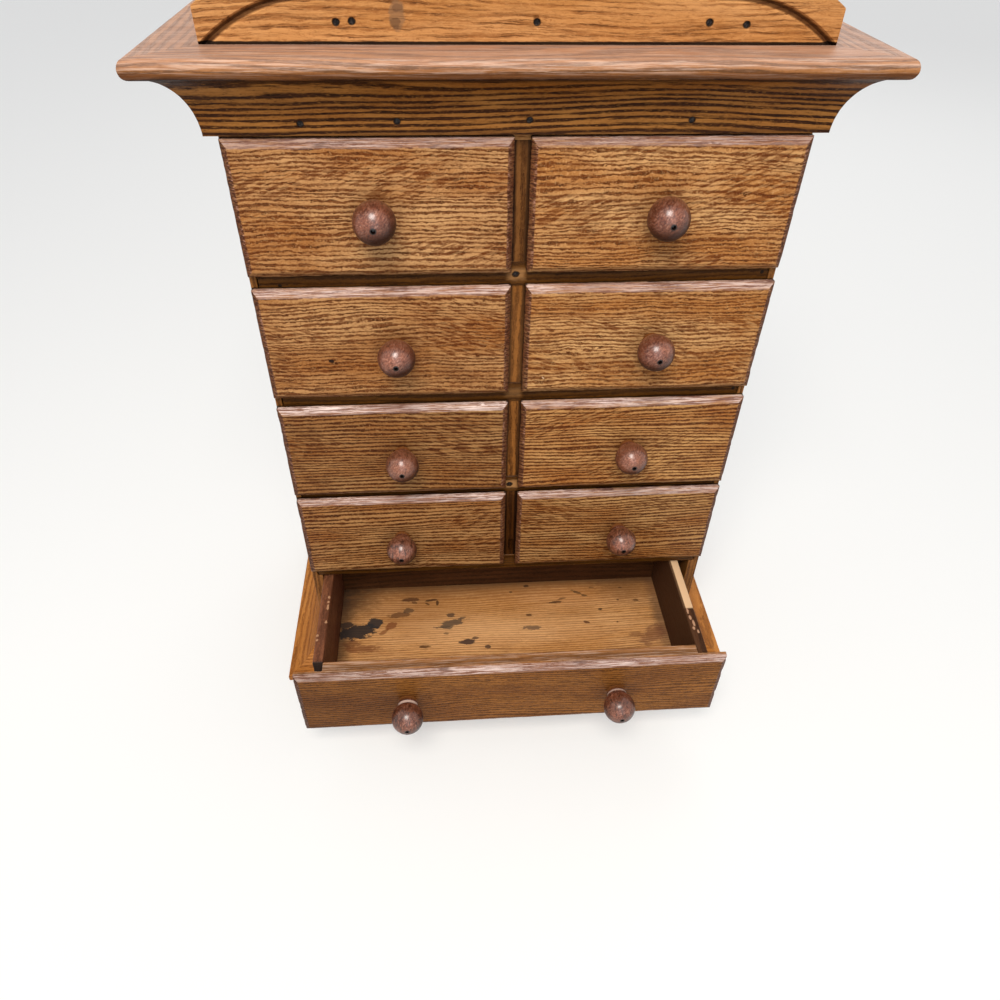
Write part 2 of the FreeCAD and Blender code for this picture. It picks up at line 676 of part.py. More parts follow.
def main():
    """Write one STEP file per node."""
    os.makedirs("parts", exist_ok=True)
    for name, shape in all_nodes().items():
        shape.exportStep("parts/%s.step" % name)


main()
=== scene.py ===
"""Looks of a small oak spice chest: eight small drawers over one wide drawer, drawn out.

Lengths are in millimetres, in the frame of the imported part, and become metres where a
mesh, a lamp or the camera is made.  +X is to the right, +Y runs from the drawer fronts
to the back and +Z is up.
"""

import enum
import logging
import math
import random
from dataclasses import dataclass, field
from typing import Any, Callable, Iterable, Sequence, TypeAlias

import bpy
import numpy as np
from mathutils import Euler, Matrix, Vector, noise


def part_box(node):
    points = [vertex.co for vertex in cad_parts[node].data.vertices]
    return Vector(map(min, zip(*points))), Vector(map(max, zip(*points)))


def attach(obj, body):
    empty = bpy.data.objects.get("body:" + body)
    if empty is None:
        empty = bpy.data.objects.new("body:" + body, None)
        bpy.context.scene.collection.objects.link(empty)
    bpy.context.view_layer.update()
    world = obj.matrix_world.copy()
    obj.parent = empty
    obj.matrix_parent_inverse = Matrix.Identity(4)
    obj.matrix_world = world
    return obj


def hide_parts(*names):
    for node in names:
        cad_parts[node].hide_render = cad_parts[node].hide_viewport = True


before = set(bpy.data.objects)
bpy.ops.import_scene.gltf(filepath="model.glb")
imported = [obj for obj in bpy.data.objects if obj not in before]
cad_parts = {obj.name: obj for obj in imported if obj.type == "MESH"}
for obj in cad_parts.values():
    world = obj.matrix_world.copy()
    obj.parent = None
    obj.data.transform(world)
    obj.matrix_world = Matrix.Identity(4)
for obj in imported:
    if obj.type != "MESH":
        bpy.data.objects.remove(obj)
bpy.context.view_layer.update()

LOG = logging.getLogger("spice_chest")
MM = 0.001
ROWS = (1, 2, 3, 4)
SIDES = (("left", -1), ("right", 1))
RGB: TypeAlias = tuple[float, float, float, float]
Film: TypeAlias = tuple[str, float]
Term: TypeAlias = "float | Value"
Place: TypeAlias = tuple[float, float, float]
Placing: TypeAlias = Callable[[float, float, float], Place]


# Sizes read from the frame

@dataclass(frozen=True)
class Box:
    """Corners of a piece in millimetres."""

    low: np.ndarray
    high: np.ndarray

    @classmethod
    def of(cls, node: str) -> "Box":
        """The box of a CAD node at rest."""
        low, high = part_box(node)
        return cls(np.array(low) / MM, np.array(high) / MM)

    @property
    def middle(self) -> np.ndarray:
        """Middle point of the box."""
        return (self.low + self.high) / 2

    @property
    def half(self) -> np.ndarray:
        """Half of the box's size along each axis."""
        return (self.high - self.low) / 2


CASE = Box.of("case_side_right")
HALF_WIDTH = float(CASE.high[0])
FRONT_PLANE = float(Box.of("shelf_1").low[1])
BACK_PLANE = float(Box.of("case_back").high[1])

# Sizes of the drawer fronts, the knobs and the nails
LIP_THICKNESS = 5.5
BEVEL_TOP = 3.5
BEVEL_SIDE = 3.0
BEVEL_DEPTH = 1.9
BEVEL_GRID = (0.5, 0.85, 1.0, 1.15)
BLOCK_ARRIS = 0.4
KNOB_RADIUS = 10.1
KNOB_CENTRE = 12.6
KNOB_NECK = 4.6
KNOB_COLLAR = 6.2
WIDE_KNOB_NECK = 6.2
KNOB_HOLE = 1.1
KNOB_HOLE_DEPTH = 2.4
TENON_RADIUS = 3.5
TENON_LENGTH = 10.0
SOCKET_GAP = 0.1
NAIL_HEAD_RADIUS = 1.35
NAIL_SEAT = 1.5
CREST_NAILS = ((-78.4, 413.3), (-72.0, 413.6), (4.5, 413.5), (77.8, 413.6), (94.0, 412.8))
SHELF_HOLES = ((-120.8, 298.0), (128.2, 301.0), (128.6, 229.0), (-119.5, 154.5))
CROWN_NAILS = ((-98.0, 376.0), (-56.0, 376.9), (2.4, 377.2), (75.5, 376.9))


# Shader arithmetic

def srgb(code: str) -> RGB:
    """A linear colour from a hexadecimal sRGB code.

    Args:
        code: The code, such as #d0a06c.

    Returns:
        Red, green, blue and an alpha of 1.
    """
    parts = [int(code[i:i + 2], 16) / 255 for i in (1, 3, 5)]
    linear = [p / 12.92 if p <= 0.04045 else ((p + 0.055) / 1.055) ** 2.4 for p in parts]
    return (linear[0], linear[1], linear[2], 1.0)


class Blend(enum.Enum):
    """Ways of mixing two colours."""

    PLAIN = "MIX"
    DARKEN = "MULTIPLY"


class Joining(enum.Enum):
    """Ways of combining two solids."""

    ADD = "UNION"
    CUT = "DIFFERENCE"


class Value:
    """A shader socket that takes part in Python arithmetic as Math nodes."""

    def __init__(self, shader: "Nodes", socket: bpy.types.NodeSocket) -> None:
        """Wrap an output socket of a shader."""
        self.shader = shader
        self.socket = socket

    def __add__(self, other: Term) -> "Value":
        """The sum with another value."""
        return self.shader.math("ADD", self, other)

    def __sub__(self, other: Term) -> "Value":
        """This value less another."""
        return self.shader.math("SUBTRACT", self, other)

    def __rsub__(self, other: Term) -> "Value":
        """Another value less this one."""
        return self.shader.math("SUBTRACT", other, self)

    def __mul__(self, other: Term) -> "Value":
        """The product with another value."""
        return self.shader.math("MULTIPLY", self, other)

    def __truediv__(self, other: Term) -> "Value":
        """This value over another."""
        return self.shader.math("DIVIDE", self, other)

    def __rtruediv__(self, other: Term) -> "Value":
        """Another value over this one."""
        return self.shader.math("DIVIDE", other, self)

    __radd__ = __add__
    __rmul__ = __mul__

    def size(self) -> "Value":
        """The value without its sign."""
        return self.shader.math("ABSOLUTE", self)

    def lesser(self, other: Term) -> "Value":
        """The smaller of two values."""
        return self.shader.math("MINIMUM", self, other)

    def greater(self, other: Term) -> "Value":
        """The larger of two values."""
        return self.shader.math("MAXIMUM", self, other)

    def rise(self, start: float, end: float) -> "Value":
        """A smooth step.

        Args:
            start: Value at which the step is 0.
            end: Value at which the step is 1; below start for a falling step.

        Returns:
            The step, from 0 to 1.
        """
        node = self.shader.node("ShaderNodeMapRange", {"interpolation_type": "SMOOTHSTEP"},
                                {"Value": self, "From Min": start, "From Max": end})
        return Value(self.shader, node.outputs[0])


class Nodes:
    """The node tree of a material or world, and the one way in which nodes are added to it."""

    def __init__(self, owner: bpy.types.Material | bpy.types.World) -> None:
        """Start with an empty tree.

        Args:
            owner: The material or world that the tree belongs to.
        """
        owner.use_nodes = True
        self.tree = owner.node_tree
        self.tree.nodes.clear()

    def node(self, kind: str, settings: dict[str, Any] | None = None,
             sockets: dict[Any, Any] | None = None) -> bpy.types.Node:
        """Make one node.

        Args:
            kind: The node's type.
            settings: Its own settings, set first.
            sockets: Values or links of its sockets, by name or number.

        Returns:
            The node.
        """
        made = self.tree.nodes.new(kind)
        for key, value in (settings or {}).items():
            setattr(made, key, value)
        for key, value in (sockets or {}).items():
            if isinstance(value, Value):
                self.tree.links.new(value.socket, made.inputs[key])
            else:
                made.inputs[key].default_value = value
        return made

    def math(self, operation: str, *values: Term) -> Value:
        """One Math node on values and numbers."""
        node = self.node("ShaderNodeMath", {"operation": operation}, dict(enumerate(values)))
        return Value(self, node.outputs[0])

    def root(self, value: Value) -> Value:
        """The square root of a value."""
        return self.math("SQRT", value)

    def mix(self, share: Term, first: Any, second: Any, blend: Blend = Blend.PLAIN) -> Value:
        """Two colours mixed.

        Args:
            share: Share of the second colour.
            first: A colour or a link to one.
            second: A colour or a link to one.
            blend: The way of mixing.

        Returns:
            The mixed colour.
        """
        node = self.node("ShaderNodeMix", {"data_type": "RGBA", "blend_type": blend.value},
                         {0: share, 6: first, 7: second})
        return Value(self, node.outputs[2])

    def seen(self) -> Value:
        """1 for rays from the camera and for reflected or refracted rays, else 0.

        Returns:
            The share, from 0 to 1.
        """
        path = self.node("ShaderNodeLightPath")
        camera, glossy, through = (Value(self, path.outputs[name]) for name in
                                   ("Is Camera Ray", "Is Glossy Ray", "Is Transmission Ray"))
        return (camera + glossy + through).lesser(1.0)


class Shader(Nodes):
    """A material and the nodes that are made for it."""

    def __init__(self, name: str) -> None:
        """Make the material and its coordinates in millimetres.

        Args:
            name: Name of the material.
        """
        self.material = bpy.data.materials.new(name)
        super().__init__(self.material)
        place = self.node("ShaderNodeTexCoord")
        scaled = self.node("ShaderNodeVectorMath", {"operation": "SCALE"},
                           {"Vector": Value(self, place.outputs["Object"]), "Scale": 1 / MM})
        split = self.node("ShaderNodeSeparateXYZ", {}, {0: Value(self, scaled.outputs[0])})
        self.axes = tuple(Value(self, split.outputs[i]) for i in range(3))

    def paint(self, colour: Any, mask: Value, code: str, share: float = 1.0) -> Value:
        """Lay a film of another colour over a colour.

        Args:
            colour: The colour below.
            mask: Where the film lies, from 0 to 1.
            code: Hexadecimal colour of the film.
            share: How far the film hides what is below it.

        Returns:
            The new colour.
        """
        return self.mix(mask if share == 1.0 else mask * share, colour, srgb(code))

    def point(self, x: Term, y: Term, z: Term) -> Value:
        """A vector from three values."""
        return Value(self, self.node("ShaderNodeCombineXYZ", {}, {0: x, 1: y, 2: z}).outputs[0])

    def noise(self, x: Term, y: Term, z: Term, detail: float = 1.0,
              roughness: float = 0.5) -> Value:
        """Smooth noise from 0 to 1 at a point.

        Args:
            x: First coordinate, in noise cells.
            y: Second coordinate.
            z: Third coordinate.
            detail: Number of finer layers.
            roughness: Strength of the finer layers.

        Returns:
            The noise.
        """
        node = self.node("ShaderNodeTexNoise", {},
                         {"Vector": self.point(x, y, z), "Scale": 1.0, "Detail": detail,
                          "Roughness": roughness})
        return Value(self, node.outputs[0])

    def close(self, sockets: dict[str, Any], relief: Value, depth: float) -> bpy.types.Material:
        """Finish the material.

        Args:
            sockets: Values and links of the Principled shader's sockets.
            relief: Height of the surface, from 0 to 1.
            depth: Height in millimetres that the relief stands for.

        Returns:
            The finished material.
        """
        bump = self.node("ShaderNodeBump", {},
                         {"Height": relief, "Strength": 1.0, "Distance": depth * MM})
        sockets = dict(sockets, Normal=Value(self, bump.outputs[0]))
        surface = self.node("ShaderNodeBsdfPrincipled", {}, sockets)
        self.node("ShaderNodeOutputMaterial", {}, {0: Value(self, surface.outputs[0])})
        return self.material


@dataclass(frozen=True)
class Pattern:
    """Noise of one scale, in cells per millimetre along its three coordinates."""

    first: float
    second: float
    third: float
    detail: float = 1.0
    roughness: float = 0.5

    def sample(self, shader: Shader, place: Sequence[Term], length: float = 1.0,
               width: float = 1.0, shift: float = 0.0) -> Value:
        """The noise at a place.

        Args:
            shader: The material in the making.
            place: The three coordinates in millimetres.
            length: How much longer than usual the cells are along the first one.
            width: How much wider than usual they are along the second one.
            shift: Number of cells by which the first coordinate is moved.

        Returns:
            The noise, from 0 to 1.
        """
        start = place[0] * (self.first / length)
        return shader.noise(start + shift if shift else start, place[1] * (self.second / width),
                            place[2] * self.third, self.detail, self.roughness)


# Noise of a board, along, across and through it
BEND = Pattern(0.005, 0.02, 0.03)
WAVE = Pattern(0.030, 0.09, 0.09, 2.0)
WAVER = Pattern(0.17, 0.55, 0.55, 3.0, 0.62)
JAG = Pattern(0.30, 0.75, 0.75, 2.0, 0.65)
DRIFT = Pattern(0.09, 0.003, 1.0)
STREAK = Pattern(0.055, 1.7, 0.4, 4.0, 0.66)
DASH = Pattern(0.16, 2.8, 1.2, 3.0, 0.7)
HAIR = Pattern(0.06, 4.5, 3.0, 2.0, 0.65)
TONE = Pattern(0.012, 0.05, 0.05, 3.0, 0.6)
GRIT = Pattern(0.70, 1.4, 1.4, 3.0, 0.82)
FLECK_AREA = Pattern(0.018, 0.05, 1.0)
FLECK = Pattern(0.13, 0.80, 0.3)
DIRT = Pattern(0.035, 0.06, 0.06, 4.0, 0.65)
# Noise of a front's bevels and of the marks
TICK = Pattern(0.45, 0.45, 1.7, 2.0, 0.65)
GLARE_AREA = Pattern(0.022, 1.7, 1.0, 2.0, 0.6)
GLARE_STREAKS = Pattern(0.055, 1.7, 1.7, 4.0, 0.72)
SMUDGE = Pattern(0.04, 2.9, 0.3, 3.0, 0.65)
RAGGED_EDGE = Pattern(0.17, 0.34, 1.0, 5.0, 0.7)
STRAND = Pattern(0.035, 1.1, 1.1, 4.0, 0.72)
# Noise of the knobs and the brads
CLOUD = Pattern(0.16, 0.10, 0.16, 3.0, 0.6)
ROUND_PORES = Pattern(1.615, 0.646, 1.615, 3.0, 0.7)
LONG_PORES = Pattern(1.045, 1.71, 0.304, 3.0, 0.7)
HATCH = Pattern(0.50, 0.35, 1.15, 3.0, 0.78)
KNOB_STREAK = Pattern(0.75, 0.5, 0.06, 2.0)
RUST = Pattern(0.9, 0.9, 0.9, 4.0, 0.7)
RUST_GRIT = Pattern(4.0, 4.0, 4.0, 2.0, 0.6)

# Sizes in millimetres and angles in degrees of the growth lines
BEND_SIZE = 18.0
WAVE_SIZE = 4.2
WAVER_SIZE = 1.9
JAG_SIZE = 1.5
LOG_SHIFTS = (80.0, 900.0)
LINE_SLOPES = (8.0, 24.0)
FLECK_LEANS = (17.0, 21.0, -16.0)


# Wood

class Grain(enum.Enum):
    """Direction of a board's grain: axes along it, across it and through the board."""

    ALONG_X = (0, 2, 1)
    ALONG_Y = (1, 2, 0)
    ALONG_Z = (2, 0, 1)
    FLAT_X = (0, 1, 2)


@dataclass(frozen=True)
class Spot:
    """A mark on a face, seen along one axis.

    Args:
        place: Middle of the mark, as two coordinates of the face.
        radius: Half sizes along the two coordinates.
        colour: Colour of the mark.
        strength: Share of the mark's colour at its middle.
        ragged: How far its outline wanders, as a share of its radius.
        turn: Angle of the mark in degrees.
        soft: Width of its fading edge, as a share of its radius.
        square: True for a mark with straight sides.
        axes: Axes of the two coordinates, where they aren't the face's own.
        blend: The way in which the colour is mixed.
        grained: True for a mark that is broken up into streaks along the first coordinate.
    """

    place: tuple[float, float]
    radius: tuple[float, float]
    colour: str = "#20120a"
    strength: float = 1.0
    ragged: float = 0.25
    turn: float = 0.0
    soft: float = 0.15
    square: bool = False
    axes: tuple[int, int] | None = None
    blend: Blend = Blend.PLAIN
    grained: bool = False


@dataclass(frozen=True)
class Oak:
    """An oiled oak surface: growth lines, pores, flecks, grime and relief."""

    light: str = "#d0a06c"
    middle: str = "#ab713c"
    line: str = "#632e0b"
    pore: str = "#331402"
    spacing: float = 2.1
    length: float = 1.0
    evenness: float = 0.36
    line_width: float = 0.46
    line_share: float = 0.85
    pore_share: float = 0.75
    wander: float = 1.0
    jagged: float = 1.0
    grit: float = 1.0
    fleck_share: float = 0.6
    grime: str = "#4d2b16"
    grime_share: float = 0.30
    roughness: float = 0.40
    specular: float = 0.09
    relief: float = 0.16


@dataclass(frozen=True)
class BevelFilms:
    """Films on a drawer front's bevels and behind its lip, each a colour and its share: wear, and
    painted sheen, glare, highlight and shade.
    """

    low: Film = ("#4d2a17", 0.42)
    side: Film = ("#5a3120", 0.74)
    tick: Film = ("#2a140b", 0.75)
    # Painted highlight along the inner arris of the end bevels.
    arris_glint: Film = ("#c09078", 0.70)
    # Painted pinkish sheen on the top bevel.
    top: Film = ("#8b6353", 0.66)
    smudge: Film = ("#563b35", 0.70)
    streak: Film = ("#63382a", 0.55)
    # Painted shade in the gaps behind, under and beside the lip.
    seam: Film = ("#0f0704", 0.93)
    # Hand grime round the knobs, with the knob's painted shadow.
    halo: Film = ("#54301a", 0.25)
    # Painted glare on the top bevel.
    painted_glare: str = "#e6cfc4"
    # Painted shade in the crest board's cut line.
    groove: str = "#3a1e0e"
    wander: float = 1.6


@dataclass
class WoodShader:
    """Builds one piece's wood, with its own part of the log and its own marks.

    Args:
        finish: The oak's colours and figure.
        grain: Direction of the grain.
        seed: Picks the part of the log.
        face_axes: Axes of the marks' coordinates.
        spots: Marks, from the lowest to the uppermost.
        front: Box of a drawer front that has bevels.
        halos: Places of the knobs, as (x, z).
        glare_share: Share of the painted glare on the top bevel.
        seam: How dark the painted shade in the gaps behind, under and beside the lip is.
        groove: Gives the share of painted shade in a cut line.
        tint: Colour that the whole surface is multiplied by.
        wear: Films on the bevels, some of them painted sheen, glare, highlight and shade.
    """

    finish: Oak
    grain: Grain
    seed: int
    face_axes: tuple[int, int] = (0, 2)
    spots: Sequence[Spot] = ()
    front: Box | None = None
    halos: Sequence[tuple[float, float]] = ()
    glare_share: float = 0.6
    seam: float = 1.0
    groove: Callable[[Shader], Value] | None = None
    tint: str = "#ffffff"
    wear: BevelFilms = BevelFilms()

    def build(self, name: str) -> bpy.types.Material:
        """Make the material.

        Args:
            name: Name of the material.

        Returns:
            The finished material.
        """
        shader = Shader(name)
        draw = random.Random(self.seed)
        place = [shader.axes[i] + draw.uniform(*LOG_SHIFTS) for i in self.grain.value]
        along, across, through = place
        slope = math.radians(draw.uniform(*LINE_SLOPES))
        finish = self.finish
        bend, wave, waver = (pattern.sample(shader, place) - 0.5 for pattern in (BEND, WAVE, WAVER))
        jag = JAG.sample(shader, place, finish.length) - 0.5
        growth = (across * math.cos(slope) + through * math.sin(slope) + bend * BEND_SIZE
                  + wave * (WAVE_SIZE * finish.wander) + waver * (WAVER_SIZE * finish.wander)
                  + jag * (JAG_SIZE * finish.jagged))
        figure = (along, growth, through)
        drift = DRIFT.sample(shader, (growth, along, 0.0)) * (1.2 + 1.8 * finish.wander)
        turns = (growth / finish.spacing + drift) * (2 * math.pi)
        swing = shader.math("COSINE", turns) * 0.5 + 0.5
        streak = STREAK.sample(shader, figure, finish.length, finish.spacing)
        level = 0.5 + finish.evenness / 2 + (0.5 - finish.line_width) * 0.3
        line = swing * finish.evenness + streak + jag * (0.42 * finish.jagged)
        line = line.rise(level - 0.09, level + 0.10)
        pores = DASH.sample(shader, figure, finish.length).rise(0.49, 0.62) * (line * 0.75 + 0.25)
        hair = HAIR.sample(shader, figure).rise(0.42, 0.75)
        tone = TONE.sample(shader, place).rise(0.32, 0.68)
        grit = GRIT.sample(shader, figure, finish.length)
        colour = shader.paint(srgb(finish.middle), tone, finish.light)
        colour = shader.paint(colour, hair, finish.line, 0.30)
        colour = shader.paint(colour, line, finish.line, finish.line_share)
        colour = shader.paint(colour, pores, finish.pore, finish.pore_share)
        colour = shader.paint(colour, grit.rise(0.53, 0.70), finish.line, 0.66 * finish.grit)
        colour = shader.paint(colour, grit.rise(0.47, 0.32), finish.light, 0.50 * finish.grit)
        if finish.fleck_share > 0.0:
            colour = self._flecks(shader, colour, place, draw.choice(FLECK_LEANS))
        dirt = DIRT.sample(shader, place)
        colour = shader.paint(colour, dirt.rise(0.52, 0.78), finish.grime, finish.grime_share)
        if self.tint != "#ffffff":
            colour = shader.mix(1.0, colour, srgb(self.tint), Blend.DARKEN)
        if self.front is not None:
            colour = self._bevels(shader, colour, dirt, streak, self.front)
        colour = self._halo(shader, colour, dirt)
        # Painted shade in the cut line.
        if self.groove is not None:
            colour = shader.paint(colour, self.groove(shader), self.wear.groove)
        colour = self._marks(shader, colour)
        rough = dirt * 0.16 + pores * 0.2 + (finish.roughness - 0.08)
        relief = 1.0 - (pores * 0.45 + line * 0.25 + grit * 0.30)
        return shader.close({"Base Color": colour, "Roughness": rough,
                             "Specular IOR Level": finish.specular}, relief, finish.relief)

    def _flecks(self, shader: Shader, colour: Value, place: Sequence[Value],
                lean: float) -> Value:
        """Ray flecks, dark and light, in clouds over the board.

        Args:
            shader: The material in the making.
            colour: Colour so far.
            place: Coordinates along, across and through the board.
            lean: Angle of the flecks against the grain, in degrees.

        Returns:
            The new colour.
        """
        along, across, through = place
        cosine, sine = math.cos(math.radians(lean)), math.sin(math.radians(lean))
        run = along * cosine + across * sine
        rise = across * cosine - along * sine
        where = FLECK_AREA.sample(shader, (along, across, 3.0)).rise(0.47, 0.60)
        fleck = FLECK.sample(shader, (run, rise, through))
        share = self.finish.fleck_share
        colour = shader.paint(colour, fleck.rise(0.54, 0.60) * where, self.finish.line, share)
        return shader.paint(colour, fleck.rise(0.46, 0.40) * where, self.finish.light,
                            share * 0.5)

    def _bevels(self, shader: Shader, colour: Value, dirt: Value, streak: Value,
                front: Box) -> Value:
        """Painted sheen and glare on the top bevel, ticked end bevels with a painted arris
        highlight, a dark lower bevel and painted shade in the gaps round the lip of a drawer front.

        Args:
            shader: The material in the making.
            colour: Colour so far.
            dirt: Cloudy noise.
            streak: Noise drawn out along the grain.
            front: Box of the front.

        Returns:
            The new colour.
        """
        x, y, z = shader.axes
        wear = self.wear
        uneven = (dirt - 0.5) * wear.wander
        gap = (x - float(front.middle[0])).size() * -1.0 + float(front.half[0])
        top = float(front.high[2]) - z
        foot = z - float(front.low[2])
        shoulder = float(front.low[1]) + BEVEL_DEPTH
        mitre = gap * (BEVEL_TOP / BEVEL_SIDE)
        above = (mitre - top).rise(-0.25, 0.35)
        bevel = (top + uneven).rise(BEVEL_TOP + 0.9, BEVEL_TOP - 0.7) * above
        bevel = bevel * y.rise(shoulder + 2.2, shoulder + 1.4)
        side = (gap + uneven).rise(BEVEL_SIDE + 0.45, BEVEL_SIDE - 0.35) * (1.0 - above)
        side = side * (foot - mitre).rise(-0.4, 0.4)
        low = (foot + uneven * 2.0).rise(3.6, 1.6) * (1.0 - side)
        ticks = TICK.sample(shader, (x, y, z))
        colour = shader.paint(colour, low, *wear.low)
        colour = shader.paint(colour, side, *wear.side)
        colour = shader.paint(colour, side * ticks.rise(0.48, 0.58), *wear.tick)
        # Painted highlight: pale ticks along the inner arris of the end bevels.
        colour = shader.paint(colour, side * ticks.rise(0.46, 0.36) * gap.rise(1.2, 3.0),
                              *wear.arris_glint)
        # Painted pinkish sheen over the top bevel, then painted glare streaks in patches, broken by
        # darker smudges and streaks.
        colour = shader.paint(colour, bevel, *wear.top)
        patch = GLARE_AREA.sample(shader, (x, self.seed, 5.0)).rise(0.30, 0.60) * 0.6 + 0.4
        painted_glare = GLARE_STREAKS.sample(shader, (x, z, y + self.seed / GLARE_STREAKS.third)).rise(0.43, 0.58)
        colour = shader.paint(colour, bevel * (painted_glare * patch), wear.painted_glare, self.glare_share)
        smudge = SMUDGE.sample(shader, (x, self.seed, z)).rise(0.55, 0.70)
        colour = shader.paint(colour, bevel * smudge, *wear.smudge)
        colour = shader.paint(colour, bevel * streak.rise(0.54, 0.64), *wear.streak)
        # Painted shade: near black on the back of the lip's top, under the lip and on its sides,
        # where the gaps round the front fall into shadow.
        hidden = 1.0 - y.rise(shoulder + 0.7, shoulder + 0.1)
        behind = y.rise(shoulder + 1.7, shoulder + 2.3) * top.rise(1.4, 0.7)
        beneath = hidden * foot.rise(1.4, 0.7)
        flank = hidden * gap.rise(1.4, 0.7) * 0.85
        seam = (behind + beneath + flank).lesser(1.0) * self.seam
        return shader.paint(colour, seam, *wear.seam)

    def _halo(self, shader: Shader, colour: Value, dirt: Value) -> Value:
        """Darkening round each knob, centred a little below it: hand grime and the knob's painted
        shadow.

        Args:
            shader: The material in the making.
            colour: Colour so far.
            dirt: Cloudy noise.

        Returns:
            The new colour.
        """
        for x, z in self.halos:
            wide = (shader.axes[0] - x) / 1.2
            high = shader.axes[2] - (z - 1.5)
            away = shader.root(wide * wide + high * high) + (dirt - 0.5) * 8.0
            colour = shader.paint(colour, away.rise(16.0, 7.0), *self.wear.halo)
        return colour

    def _marks(self, shader: Shader, colour: Value) -> Value:
        """Every spot of the piece.

        Args:
            shader: The material in the making.
            colour: Colour so far.

        Returns:
            The new colour.
        """
        first, second = (shader.axes[i] for i in self.face_axes)
        ragged = RAGGED_EDGE.sample(shader, (first, second, 7.0)) - 0.5
        for spot in self.spots:
            first, second = (shader.axes[i] for i in spot.axes or self.face_axes)
            cosine, sine = math.cos(math.radians(spot.turn)), math.sin(math.radians(spot.turn))
            wide = first - spot.place[0]
            high = second - spot.place[1]
            run = (wide * cosine + high * sine) / spot.radius[0]
            rise = (high * cosine - wide * sine) / spot.radius[1]
            if spot.square:
                away = run.size().greater(rise.size())
            else:
                away = shader.root(run * run + rise * rise)
            away = away + ragged * (5.0 * spot.ragged)
            share = away.rise(1.0 + spot.soft, 1.0 - spot.soft) * spot.strength
            if spot.grained:
                strand = STRAND.sample(shader, (first, *shader.axes[1:]))
                share = share * strand.rise(0.47, 0.62)
            colour = shader.mix(share, colour, srgb(spot.colour), spot.blend)
        return colour


@dataclass(frozen=True)
class KnobWood:
    """Turned reddish hardwood with short pores and a handled shine.

    Args:
        base: Darker colour of the wood.
        light: Lighter colour of the wood.
        speck: Colour of its pores.
        pale: Film of fine pale hatching.
        dark: Film of fine dark hatching.
        foot: Painted shade where the ball meets its neck.
        rim: Painted shade round the ball's edge, as seen from the front.
        under: Painted shade on the ball's lower side, towards the lower right.
        collar: Film on the collar, oak brown like the front, which also stands for the shade behind
            the ball.
        hole: Painted shade in and round the hole at the pole.
        ring: Start and end of a pale ring behind the ball's middle, and its share.
        ring_colour: Colour of that ring.
        streaked: True for long streaks in place of round pores.
        roughness: Middle roughness.
    """

    base: str = "#74442d"
    light: str = "#92553c"
    speck: str = "#2f150b"
    pale: Film = ("#c28f75", 0.42)
    dark: Film = ("#2f150b", 0.62)
    foot: Film = ("#3c2014", 0.60)
    rim: Film = ("#2b150c", 0.45)
    under: Film = ("#241009", 0.90)
    collar: Film = ("#74451f", 0.85)
    hole: Film = ("#0a0503", 0.97)
    ring: tuple[float, float, float] = (0.0, 0.0, 0.0)
    ring_colour: str = "#cdb3a4"
    streaked: bool = False
    roughness: float = 0.38

    def build(self, name: str, centre: np.ndarray, seed: int) -> bpy.types.Material:
        """Make the material of one knob.

        Args:
            name: Name of the material.
            centre: Middle of the knob's ball.
            seed: Picks the part of the wood.

        Returns:
            The finished material.
        """
        shader = Shader(name)
        shift = random.Random(seed).uniform(10.0, 400.0)
        place = [axis - float(middle) for axis, middle in zip(shader.axes, centre)]
        x, y, z = place
        cloud = CLOUD.sample(shader, place, shift=shift)
        pores = LONG_PORES if self.streaked else ROUND_PORES
        dots = pores.sample(shader, place, shift=shift).rise(0.50, 0.64)
        hatch = HATCH.sample(shader, (x + z, y, x - z), shift=shift)
        away = shader.root(x * x + z * z)
        start, end, ring_share = self.ring
        ring = y.rise(start - 0.3, start + 0.3) * y.rise(end + 0.3, end - 0.3)
        colour = shader.paint(srgb(self.base), cloud.rise(0.3, 0.7), self.light)
        colour = shader.paint(colour, hatch.rise(0.51, 0.63), *self.pale)
        colour = shader.paint(colour, hatch.rise(0.49, 0.36), *self.dark)
        colour = shader.paint(colour, dots, self.speck, 0.45)
        if self.streaked:
            streak = KNOB_STREAK.sample(shader, place, shift=shift).rise(0.52, 0.66)
            colour = shader.paint(colour, streak, self.speck, 0.75)
        # Painted shade: on the back of the ball towards its neck, round its edge, on its lower
        # right side and in the hole at its pole; the collar's oak brown also stands for the shade
        # behind the ball.
        colour = shader.paint(colour, y.rise(4.5, 9.0), *self.foot)
        colour = shader.paint(colour, away.rise(5.5, 10.0) * y.rise(6.0, 0.0), *self.rim)
        colour = shader.paint(colour, (z - x * 0.35).rise(4.5, -6.5), *self.under)
        colour = shader.paint(colour, y.rise(10.2, 10.8), *self.collar)
        colour = shader.paint(colour, ring, self.ring_colour, ring_share)
        colour = shader.paint(colour, away.rise(1.9, 1.2) * y.rise(0.0, -8.0), *self.hole)
        rough = cloud * 0.12 + hatch * 0.16 + (self.roughness - 0.14)
        shine = z.rise(-5.0, 2.5) * x.size().rise(9.8, 5.0) * y.rise(6.0, 2.0)
        sockets = {"Base Color": colour, "Roughness": rough, "Coat Weight": shine * 0.95 + 0.05,
                   "Coat Roughness": 0.25, "Specular IOR Level": 0.12}
        return shader.close(sockets, 1.0 - (dots * 0.5 + hatch * 0.5), 0.18)


